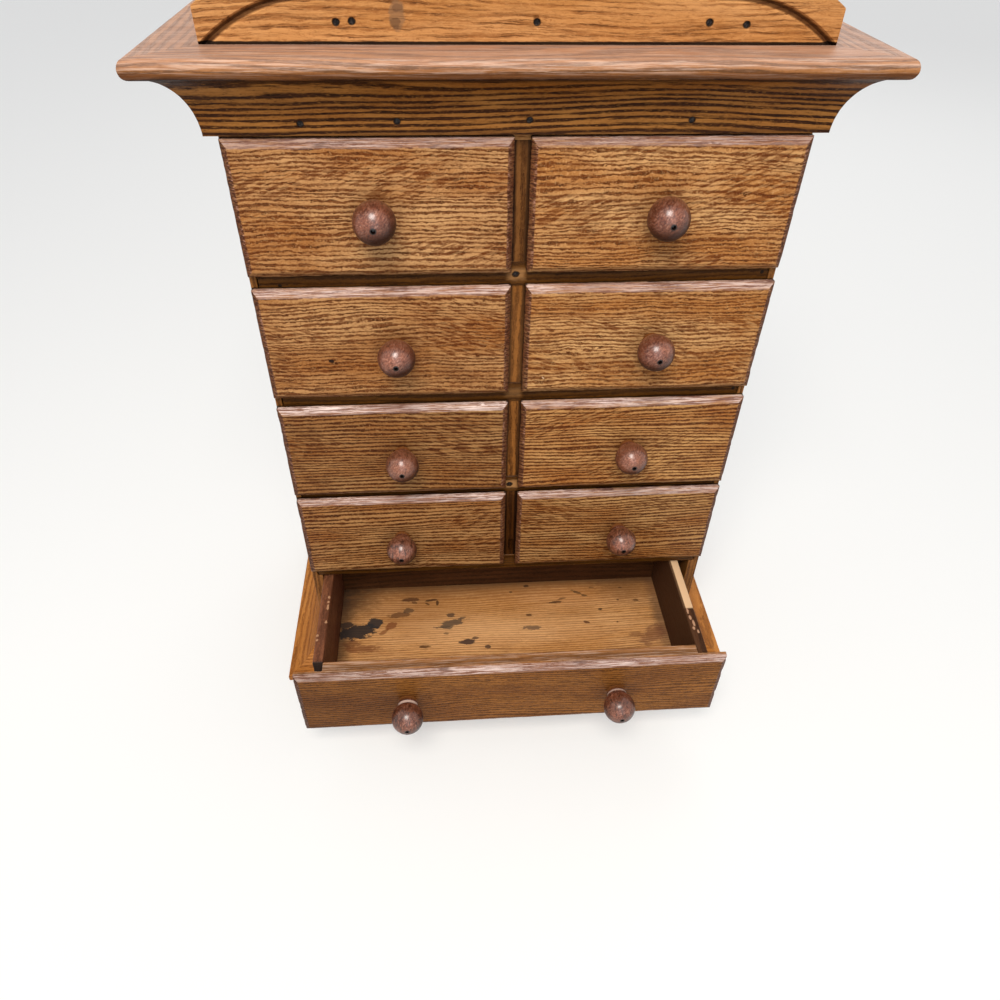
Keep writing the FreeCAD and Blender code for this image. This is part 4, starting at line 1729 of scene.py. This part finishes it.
FRONT_OAK = Oak()
LOWER_OAK = Oak(light="#dcaa70", middle="#b0733c", line="#5c2a0a", pore="#2e1102", spacing=2.45,
                evenness=0.52, line_width=0.47, line_share=0.92, wander=0.7, jagged=0.6, grit=0.95)
WIDE_OAK = Oak(light="#a8733c", middle="#8a592c", line="#4e2c0e", pore="#301806", spacing=2.0,
               line_width=0.46, line_share=0.75, pore_share=0.6, wander=0.6, jagged=0.8,
               fleck_share=0.2)
CREST_OAK = Oak(light="#c8915a", middle="#b27941", line="#7c471e", pore="#40200b", spacing=2.1,
                length=2.0, evenness=0.14, line_width=0.40, line_share=0.65, pore_share=0.75,
                wander=0.4, jagged=0.45, grit=0.8, fleck_share=0.0, grime_share=0.12)
CROWN_OAK = Oak(light="#dca468", middle="#b27840", line="#43210a", pore="#170901", spacing=2.5,
                length=1.8, evenness=0.34, line_width=0.46, line_share=0.95, pore_share=0.85,
                wander=0.14, jagged=0.35, grit=0.9, fleck_share=0.0, grime_share=0.2)
BASE_OAK = Oak(light="#c58340", middle="#ad6c2d", line="#80491c", pore="#573012", spacing=2.2,
               line_width=0.42, line_share=0.6, pore_share=0.5, wander=0.4, jagged=0.7, grit=0.7,
               fleck_share=0.0, grime_share=0.2)
CASE_OAK = Oak(light="#a06a38", middle="#855527", line="#5b3517", pore="#3a1f0d", spacing=2.8,
               line_share=0.65, wander=0.5, fleck_share=0.2)
SIDE_WOOD = Oak(light="#8a573a", middle="#6b3d25", line="#432213", pore="#26120a", spacing=1.8,
                line_width=0.45, line_share=0.5, pore_share=0.4, wander=0.4, fleck_share=0.0,
                grime_share=0.4, roughness=0.55, specular=0.2)
# Old inner wood, painted darker to stand for the shade inside the case and the drawers.
SHADED_INNER_WOOD = Oak(light="#59371e", middle="#442713", line="#2d190b", pore="#1c0f06", spacing=4.5,
                 line_width=0.4, line_share=0.45, pore_share=0.4, wander=0.4, fleck_share=0.0,
                 grime_share=0.5, roughness=0.62, specular=0.12)
FLOOR_WOOD = Oak(light="#e9b276", middle="#d19657", line="#8c5426", pore="#5a3318", spacing=1.9,
                 length=2.4, line_width=0.45, line_share=0.55, pore_share=0.5, wander=0.16,
                 jagged=0.25, grit=0.8, fleck_share=0.0, grime="#74502f", grime_share=0.35,
                 roughness=0.5, specular=0.2, relief=0.08)
PANEL_WOOD = Oak(light="#a8794b", middle="#8c6139", line="#6d4727", pore="#4b2e18", spacing=4.0,
                 line_width=0.4, line_share=0.5, pore_share=0.3, wander=0.4, fleck_share=0.0,
                 grime_share=0.4, roughness=0.6, specular=0.15)


def band(height: float, half: float, colour: str, strength: float, ragged: float, soft: float,
         **more: Any) -> Spot:
    """A level band along the whole length of a piece.

    Args:
        height: Middle of the band.
        half: Half its width.
        colour: Its colour.
        strength: Share of its colour.
        ragged: How far its edges wander.
        soft: Width of its fading edges.
        more: Other values of the mark.

    Returns:
        The mark.
    """
    return Spot((0.0, height), (400.0, half), colour, strength, ragged, soft=soft, square=True,
                **more)


# Bands along the crown: painted shade over the cove, painted shadow lines under the nose and at the
# cove's foot, the nose darkened, a film that softens its lines, a painted pinkish sheen in streaks
# on the nose and top, and painted shade along the nose's lower edge.
CROWN_SHADE_AND_SHEEN = (
    band(383.5, 15.5, "#bfa878", 0.9, 0.05, 0.10, blend=Blend.DARKEN),
    band(396.2, 1.5, "#2a1408", 0.75, 0.1, 0.5),
    band(371.0, 2.2, "#2a1408", 0.5, 0.1, 0.5),
    band(402.0, 5.0, "#c6b09c", 0.90, 0.05, 0.2, blend=Blend.DARKEN),
    band(402.6, 4.4, "#8c5f3a", 0.44, 0.05, 0.1),
    band(405.8, 3.6, "#dcb8a6", 0.20, 0.15, 0.5),
    band(402.6, 3.6, "#eccdb8", 0.34, 0.25, 0.5, grained=True),
    band(399.4, 1.1, "#5c3216", 0.60, 0.20, 0.6),
)
CREST_MARKS_AND_SHADE = (
    Spot((-53.4, 416.2), (3.1, 5.6), "#7d5c40", 0.70, 0.25),
    Spot((-54.2, 413.2), (2.0, 2.0), "#5a3e28", 0.60, 0.45),
    Spot((-53.0, 418.6), (2.0, 1.6), "#614430", 0.60, 0.45),
    # Painted shadow along the board's foot, where it meets the crown.
    Spot((0.0, CROWN_TOP), (200.0, 1.2), "#0e0704", 0.97, 0.10, square=True),
)
# Tone of the divider: painted shade darkening it strongly towards the bottom, cooler at the top, a
# little warmer in the middle.
DIVIDER_SHADE_AND_TONE = (
    Spot((0.0, 118.0), (40.0, 42.0), "#6a5a4e", 0.9, 0.1, soft=0.35, square=True,
         blend=Blend.DARKEN),
    Spot((0.0, 340.0), (40.0, 38.0), "#dadff4", 1.0, 0.1, soft=0.2, square=True,
         blend=Blend.DARKEN),
    Spot((0.0, 262.0), (40.0, 32.0), "#a87444", 0.11, 0.1, soft=0.2, square=True),
)
PANELS = (("case_top", Grain.FLAT_X), ("case_bottom", Grain.FLAT_X), ("case_back", Grain.ALONG_Z))
NAILED_ROWS = (1, 3)
CROSSING_SHARES = {1: 0.55, 2: 0.25, 3: 0.85, 4: 0.05}
FRONT_TINTS = {"row1_left": "#efece6", "row1_right": "#fdfdf6", "row2_left": "#e8e2d8",
               "row2_right": "#fdfdf4", "row3_left": "#cdc8c0", "row3_right": "#ece6d8",
               "row4_left": "#d6cfc6", "row4_right": "#dedad0"}
# Share of the painted glare on each row's top bevels.
FRONT_GLARE = {1: 0.42, 2: 0.66, 3: 1.0, 4: 0.82}
WIDE_MARKS = (
    Spot((-118.0, 40.0), (48.0, 60.0), "#dad6d0", 1.0, 0.1, soft=0.9, blend=Blend.DARKEN),
)

NICK = "#b98d68"
LEFT_NICKS = ((-37.3, 2.2), (-33.0, 0.8), (-29.0, 1.0), (-50.0, 1.2))
OUTER_NICKS = (-64.7, -61.0)
RIGHT_NICKS = ((1.8, -54.5, 2.6), (2.2, -60.0, 2.0), (3.4, -64.5, 2.6), (2.4, -69.0, 1.2),
               (4.6, -72.0, 1.6))
PLANED_START = -51.7
# Stains on the wide drawer's floor, and painted shade along its back and side walls: place, half
# sizes, then the rest of a Spot's values
FLOOR_STAINS_AND_SHADE = tuple(Spot(row[:2], row[2:4], *row[4:]) for row in (
    # The first nine rows are broad: dirt with painted shade along the back and against the side
    # walls, darker and lighter patches of tone, and a lighter patch towards the front; the rest are
    # stains.
    (0.0, 21.0, 160.0, 7.0, "#54402c", 0.8, 0.2, 0.0, 0.6, True),
    (-119.0, 14.0, 24.0, 20.0, "#2f2219", 0.9, 0.25, 0.0, 0.6),
    (-122.0, -10.0, 8.5, 60.0, "#4a3729", 0.7, 0.25, 0.0, 0.6),
    (114.0, -10.0, 6.0, 60.0, "#5e4635", 0.65, 0.3, 0.0, 0.6),
    (-20.0, 13.0, 80.0, 8.0, "#8a5c34", 0.55, 0.4, 0.0, 0.7),
    (-72.0, -2.0, 36.0, 20.0, "#9a6436", 0.45, 0.35, 0.0, 0.8),
    (44.0, 4.0, 50.0, 12.0, "#b0703a", 0.4, 0.4, 0.0, 0.8),
    (-10.0, -26.0, 70.0, 12.0, "#efb880", 0.3, 0.4, 0.0, 0.8),
    (96.0, 12.0, 26.0, 14.0, "#7a5232", 0.5, 0.35, 0.0, 0.7),
    (-109.0, -22.5, 13.0, 6.6, "#2f2a29", 0.95, 0.42, 10.0, 0.08),
    (-97.0, -15.5, 5.5, 5.0, "#33302f", 0.94, 0.45, 0.0, 0.08),
    (-117.0, -16.0, 5.0, 3.4, "#3d302a", 0.85, 0.45, 0.0, 0.12),
    (-85.0, -18.5, 5.2, 2.6, "#7a4021", 0.75, 0.55, 25.0),
    (-90.0, -23.5, 3.4, 1.6, "#7a4021", 0.6, 0.55, 40.0),
    (-80.0, -8.5, 8.5, 2.3, "#6a4428", 0.8, 0.55, 6.0),
    (-73.0, -5.0, 4.0, 2.4, "#5f4631", 0.8, 0.5),
    (-71.5, 5.6, 6.5, 1.6, "#54331f", 0.8, 0.5),
    (-68.5, 2.6, 2.2, 1.6, "#5a3823", 0.7, 0.5),
    (-55.5, 4.4, 4.6, 1.1, "#452a1b", 0.85, 0.4, 8.0),
    (-51.5, 1.0, 1.1, 2.6, "#452a1b", 0.85, 0.4),
    (-59.0, 1.0, 2.0, 0.8, "#452a1b", 0.75, 0.4, -30.0),
    (-41.5, -18.5, 10.5, 2.9, "#5f4c3b", 0.88, 0.5, 15.0),
    (-44.5, -22.0, 4.0, 1.5, "#63503d", 0.8, 0.5, -10.0),
    (-42.0, -11.0, 3.0, 1.9, "#574031", 0.85, 0.5),
    (-34.0, -14.5, 4.0, 1.2, "#5d4838", 0.75, 0.5, 20.0),
    (-45.0, -27.5, 2.4, 1.2, "#6d5138", 0.7, 0.5),
    (-30.5, -36.0, 5.2, 2.4, "#40302c", 0.92, 0.5),
    (-24.5, -33.0, 3.0, 1.2, "#4e3a30", 0.8, 0.5),
    (-16.0, -41.4, 2.4, 1.6, "#503a2d", 0.88, 0.4),
    (-61.0, -38.8, 4.0, 1.1, "#55361f", 0.88, 0.5),
    (-105.0, -38.0, 12.0, 3.2, "#733f25", 0.65, 0.5, 0.0, 0.3),
    (-112.0, -33.0, 6.0, 2.6, "#6b3d26", 0.6, 0.5, 0.0, 0.3),
    (16.3, 14.6, 2.0, 1.3, "#3f2a1c", 0.85, 0.4),
    (4.0, 9.0, 1.4, 0.9, "#4d3421", 0.75, 0.4),
    (36.6, -2.6, 6.5, 0.9, "#4c301e", 0.85, 0.6, 4.0),
    (42.0, 0.5, 3.0, 0.7, "#4c301e", 0.7, 0.6, 12.0),
    (53.6, 6.5, 3.6, 1.2, "#4b3624", 0.75, 0.6, -28.0),
    (59.0, 3.0, 2.2, 0.9, "#4b3624", 0.75, 0.6, -20.0),
    (66.0, 10.0, 3.4, 1.0, "#5a4029", 0.6, 0.6),
    (15.8, -14.0, 2.2, 1.3, "#50301e", 0.8, 0.4),
    (17.0, -26.2, 6.0, 1.9, "#6c5440", 0.8, 0.6),
    (57.6, -23.0, 2.4, 1.2, "#52291c", 0.8, 0.5, -20.0),
    (69.2, -11.3, 1.8, 0.9, "#34221a", 0.88, 0.4),
    (84.0, -3.0, 1.0, 0.7, "#4c2f20", 0.8, 0.4),
    (97.1, -4.1, 2.2, 1.0, "#50331f", 0.75, 0.5),
    (80.0, -24.0, 0.9, 0.9, "#4c2a1c", 0.8, 0.4),
    (88.0, 9.0, 1.4, 0.8, "#5a3c24", 0.7, 0.5),
    (104.0, -37.0, 11.0, 6.5, "#6f4333", 0.6, 0.45, 35.0, 0.35),
    (92.0, -36.0, 5.0, 2.4, "#744a31", 0.5, 0.5, 0.0, 0.3),
))


# Sub-assemblies

@dataclass
class SmallDrawer:
    """One small drawer: front, walls, bottom and knob."""

    row: int
    side: str
    seed: int
    spots: Sequence[Spot] = ()

    def build(self) -> None:
        """Build the front and knob, and dress the box."""
        stem = "row%d_%s_" % (self.row, self.side)
        DrawerFront(stem + "front", stem + "drawer", [stem + "knob"],
                    FRONT_OAK if self.row < 3 else LOWER_OAK, self.seed,
                    FRONT_TINTS[stem[:-1]], self.spots, FRONT_GLARE[self.row]).build()
        walls = WoodShader(SHADED_INNER_WOOD, Grain.ALONG_Y, self.seed + 40, face_axes=(1, 2))
        dress(stem + "walls", walls.build(stem + "walls"), 0.0)
        floor = WoodShader(FLOOR_WOOD, Grain.FLAT_X, self.seed + 60, face_axes=(0, 1))
        dress(stem + "bottom", floor.build(stem + "bottom"), 0.2)


@dataclass
class WideDrawer:
    """The bottom drawer: front with two knobs, two sides, back and stained floor."""

    seed: int = 51
    knobs: tuple[str, str] = ("wide_knob_left", "wide_knob_right")

    def build_front(self) -> None:
        """Build the front and its knobs, with painted light and a streaked painted sheen behind the
        lip.
        """
        front = Box.of("wide_front")
        start, end = float(front.low[1]) + LIP_THICKNESS - 1.5, float(front.high[1])
        place, reach = (0.0, (start + end) / 2), (400.0, (end - start) / 2)
        # Painted light on the upward face behind the lip, and a streaked painted pinkish sheen over
        # it.
        ledge = [Spot(place, reach, "#c08a5a", 0.40, 0.1, soft=0.3, square=True, axes=(0, 1)),
                 Spot(place, reach, "#e8c8b0", 0.50, 0.1, soft=0.3, square=True, axes=(0, 1),
                      grained=True)]
        DrawerFront("wide_front", "wide_drawer", self.knobs, WIDE_OAK, self.seed, "#f0e4d0",
                    [*WIDE_MARKS, *ledge], 0.76, seam=0.0).build()

    def dress_left(self) -> None:
        """Dress the left side, which has nicks and, behind the front, a dark square of painted
        shade that stands for a slot.
        """
        side = Box.of("wide_side_left")
        outer, start, inner = float(side.low[0]), float(side.low[1]), float(side.high[0])
        marks = [Spot((inner - 1.2, y), (0.7, long), NICK, 0.8, 0.6) for y, long in LEFT_NICKS]
        marks += [Spot((outer + 1.0, y), (0.8, 0.9), NICK, 0.8, 0.6) for y in OUTER_NICKS]
        # Painted shade: a dark square that stands for a slot seen in shadow.
        marks.append(Spot(((outer + inner) / 2, start + 4.2), (6.0, 4.9), "#2b2521", 0.93, 0.05,
                          square=True))
        wood = WoodShader(SIDE_WOOD, Grain.ALONG_Y, self.seed + 1, face_axes=(0, 1), spots=marks)
        dress("wide_side_left", wood.build("wide_side_left"), 0.4)

    def dress_right(self) -> None:
        """Dress the right side, which has a pale planed edge and nicks."""
        side = Box.of("wide_side_right")
        top, inner = float(side.high[2]), float(side.low[0])
        planed = 120.0
        marks = [Spot((PLANED_START + planed, top), (planed, 0.75), "#e3bd92", 0.97, 0.015,
                      soft=0.01, square=True)]
        marks += [Spot((inner + x, y), (0.8, long), "#c79a78", 0.75, 0.75, axes=(0, 1))
                  for x, y, long in RIGHT_NICKS]
        marks.append(Spot((inner + 0.2, -10.0), (1.1, 80.0), "#4f3320", 0.92, 0.05, square=True,
                          axes=(0, 1)))
        wood = WoodShader(SHADED_INNER_WOOD, Grain.ALONG_Y, self.seed + 2, face_axes=(1, 2), spots=marks)
        dress("wide_side_right", wood.build("wide_side_right"), 0.3)

    def build(self) -> None:
        """Build the front and knobs, and dress the box."""
        self.build_front()
        self.dress_left()
        self.dress_right()
        back = WoodShader(SHADED_INNER_WOOD, Grain.ALONG_X, self.seed + 3)
        dress("wide_back", back.build("wide_back"), 0.4)
        floor = WoodShader(FLOOR_WOOD, Grain.FLAT_X, self.seed + 4, face_axes=(0, 1),
                           spots=FLOOR_STAINS_AND_SHADE)
        dress("wide_bottom", floor.build("wide_bottom"), 0.2)


@dataclass
class Case:
    """The fixed case: sides, shelves, divider, panels, crest, mouldings and brads."""

    seed: int = 11

    def dress_sides(self) -> None:
        """Dress the two sides."""
        for number, (name, _) in enumerate(SIDES):
            node = "case_side_" + name
            wood = WoodShader(CASE_OAK, Grain.ALONG_Z, self.seed + number, face_axes=(1, 2))
            dress(node, wood.build(node))

    def dress_shelves(self) -> None:
        """Dress the shelves, with pale crossings, brad heads and small holes on their edges, and a
        darkening tint of painted shade.
        """
        for row in ROWS:
            node = "shelf_%d" % row
            height = float(Box.of(node).middle[2])
            marks = [Spot((-0.8, height), (4.4, 3.0), "#ab7b4b", CROSSING_SHARES[row], 0.2,
                          soft=0.4, square=True)]
            if row in NAILED_ROWS:
                marks.append(Spot((-1.2, height), (2.0, 1.9), "#140c08", 0.92))
            marks += [Spot((x, z), (1.0, 1.0), "#120b07", 0.9, 0.1) for x, z in SHELF_HOLES
                      if abs(z - height) < 5.0]
            # The tint is painted shade: it darkens the shelf edges seen in the gaps between the
            # rows.
            wood = WoodShader(CASE_OAK, Grain.ALONG_X, self.seed + 2 + row, spots=marks,
                              tint="#98906c")
            dress(node, wood.build(node), 0.3)

    def dress_divider(self) -> None:
        """Dress the divider, with bands of painted shade along its edges."""
        box = Box.of("divider")
        edge = 0.22 * float(box.high[0] - box.low[0])
        # Painted shade: dark bands in the shadows along both edges of the divider.
        marks = [Spot((float(end), 260.0), (edge, 400.0), "#150b06", 0.75, 0.02, soft=0.35,
                      square=True) for end in (box.low[0], box.high[0])]
        wood = WoodShader(CASE_OAK, Grain.ALONG_Z, self.seed + 8, spots=[*marks, *DIVIDER_SHADE_AND_TONE],
                          tint="#f0e6c8")
        dress("divider", wood.build("divider"))

    def dress_panels(self) -> None:
        """Dress the top, the bottom and the back."""
        for number, (node, grain) in enumerate(PANELS):
            wood = WoodShader(PANEL_WOOD, grain, self.seed + 10 + number)
            dress(node, wood.build(node), 0.3)

    def build(self) -> None:
        """Dress the boards and build the worn mouldings and crest."""
        self.dress_sides()
        self.dress_shelves()
        self.dress_divider()
        self.dress_panels()
        dress("nails", BlackIron().build("nails"), 0.0)
        Moulding("crown", crown_profile(), CROWN_OAK, self.seed + 20, CROWN_NAILS,
                 CROWN_SHADE_AND_SHEEN).build()
        Moulding("base", base_profile(), BASE_OAK, self.seed + 26).build()
        CrestBoard(CREST_OAK, self.seed + 30).build()


# Camera, lamps and floor

@dataclass(frozen=True)
class Camera:
    """The viewpoint of the photograph, looking down on the chest from the front."""

    place: tuple[float, float, float] = (-37.79, -379.15, 478.48)
    angles: tuple[float, float, float] = (48.2651, -0.8612, -3.9978)
    lens: float = 27.754
    sensor: float = 36.0

    def build(self) -> None:
        """Make the camera and choose it."""
        data = bpy.data.cameras.new("viewpoint")
        data.lens = self.lens
        data.sensor_width = self.sensor
        data.clip_start = 0.01
        made = bpy.data.objects.new("viewpoint", data)
        made.location = Vector(self.place) * MM
        made.rotation_euler = Euler([math.radians(angle) for angle in self.angles], "XYZ")
        bpy.context.scene.collection.objects.link(made)
        bpy.context.scene.camera = made


@dataclass(frozen=True)
class Lamp:
    """A square soft lamp that points at the chest."""

    name: str
    azimuth: float
    elevation: float
    distance: float
    size: float
    power: float
    colour: str = "#ffffff"
    aim: tuple[float, float, float] = (0.0, 0.0, 0.2)

    def build(self) -> None:
        """Make the lamp; azimuth 0 is in front of the chest, elevation is above the floor."""
        data = bpy.data.lights.new(self.name, "AREA")
        data.shape = "SQUARE"
        data.size = self.size
        data.energy = self.power
        data.color = srgb(self.colour)[:3]
        turn, up = math.radians(self.azimuth), math.radians(self.elevation)
        aim = Vector(self.aim)
        place = aim + self.distance * Vector((math.sin(turn) * math.cos(up),
                                              -math.cos(turn) * math.cos(up), math.sin(up)))
        made = bpy.data.objects.new(self.name, data)
        made.location = place
        made.rotation_euler = (aim - place).to_track_quat("-Z", "Y").to_euler()
        bpy.context.scene.collection.objects.link(made)


@dataclass(frozen=True)
class Studio:
    """Plain pale floor, soft lamps and a white surround."""

    floor_size: float = 9.0
    floor_colour: str = "#bcbcb8"
    floor_glow: float = 0.42
    surround: float = 0.50
    lamps: tuple[Lamp, ...] = (
        Lamp("key", -12.0, 54.0, 1.15, 0.46, 12.0, "#fff8f0"),
        Lamp("window", 4.0, 20.0, 1.9, 1.6, 9.0, "#f4f8ff"),
        Lamp("back", 155.0, 40.0, 1.8, 1.2, 6.0),
    )

    def world(self) -> None:
        """An even grey light that cameras and reflections see as white."""
        world = bpy.data.worlds.new("surround")
        bpy.context.scene.world = world
        shader = Nodes(world)
        even = shader.node("ShaderNodeBackground", {}, {0: srgb("#f6f8ff"), 1: self.surround})
        white = shader.node("ShaderNodeBackground", {}, {0: srgb("#ffffff"), 1: 1.0})
        mixed = shader.node("ShaderNodeMixShader", {},
                            {0: shader.seen(), 1: Value(shader, even.outputs[0]),
                             2: Value(shader, white.outputs[0])})
        shader.node("ShaderNodeOutputWorld", {}, {0: Value(shader, mixed.outputs[0])})

    def floor(self) -> None:
        """The pale floor, a little brighter to the camera, which keeps the chest's shadow."""
        half = self.floor_size / 2
        mesh = bpy.data.meshes.new("floor")
        corners = [(-half, -half, 0), (half, -half, 0), (half, half, 0), (-half, half, 0)]
        mesh.from_pydata(corners, [], [(0, 1, 2, 3)])
        made = bpy.data.objects.new("floor", mesh)
        bpy.context.scene.collection.objects.link(made)
        shader = Shader("floor")
        glow = shader.mix(shader.seen(), srgb("#000000"), srgb("#ffffff"))
        surface = shader.node("ShaderNodeBsdfPrincipled", {},
                              {"Base Color": srgb(self.floor_colour), "Roughness": 0.9,
                               "Emission Color": glow, "Emission Strength": self.floor_glow})
        shader.node("ShaderNodeOutputMaterial", {}, {0: Value(shader, surface.outputs[0])})
        mesh.materials.append(shader.material)

    def build(self) -> None:
        """Build the surround, the floor and the lamps."""
        bpy.context.scene.view_settings.view_transform = "Standard"
        self.world()
        self.floor()
        for lamp in self.lamps:
            lamp.build()


@dataclass
class Chest:
    """The whole chest."""

    case: Case = field(default_factory=Case)
    wide: WideDrawer = field(default_factory=WideDrawer)

    def small_drawers(self) -> list[SmallDrawer]:
        """The eight small drawers with their own wood and marks.

        Returns:
            The drawers, from the top row to the bottom one.
        """
        spots = {(2, "left"): [Spot((-99.8, 256.9), (1.5, 1.0), "#140c07", 0.95, 0.2)],
                 (2, "right"): [Spot((15.3, 243.0), (0.9, 0.35), "#d9b892", 0.8, 0.2, -50.0)]}
        drawers = []
        for row in ROWS:
            for number, (name, _) in enumerate(SIDES):
                drawers.append(SmallDrawer(row, name, 100 + row * 10 + number,
                                           spots.get((row, name), [])))
        return drawers

    def build(self) -> None:
        """Build every sub-assembly in order."""
        self.case.build()
        for drawer in self.small_drawers():
            drawer.build()
        self.wide.build()


def main() -> None:
    """Build the viewpoint, the studio and the chest."""
    logging.basicConfig(level=logging.INFO, format="%(message)s")
    Camera().build()
    Studio().build()
    Chest().build()


if __name__ == "__main__":
    main()
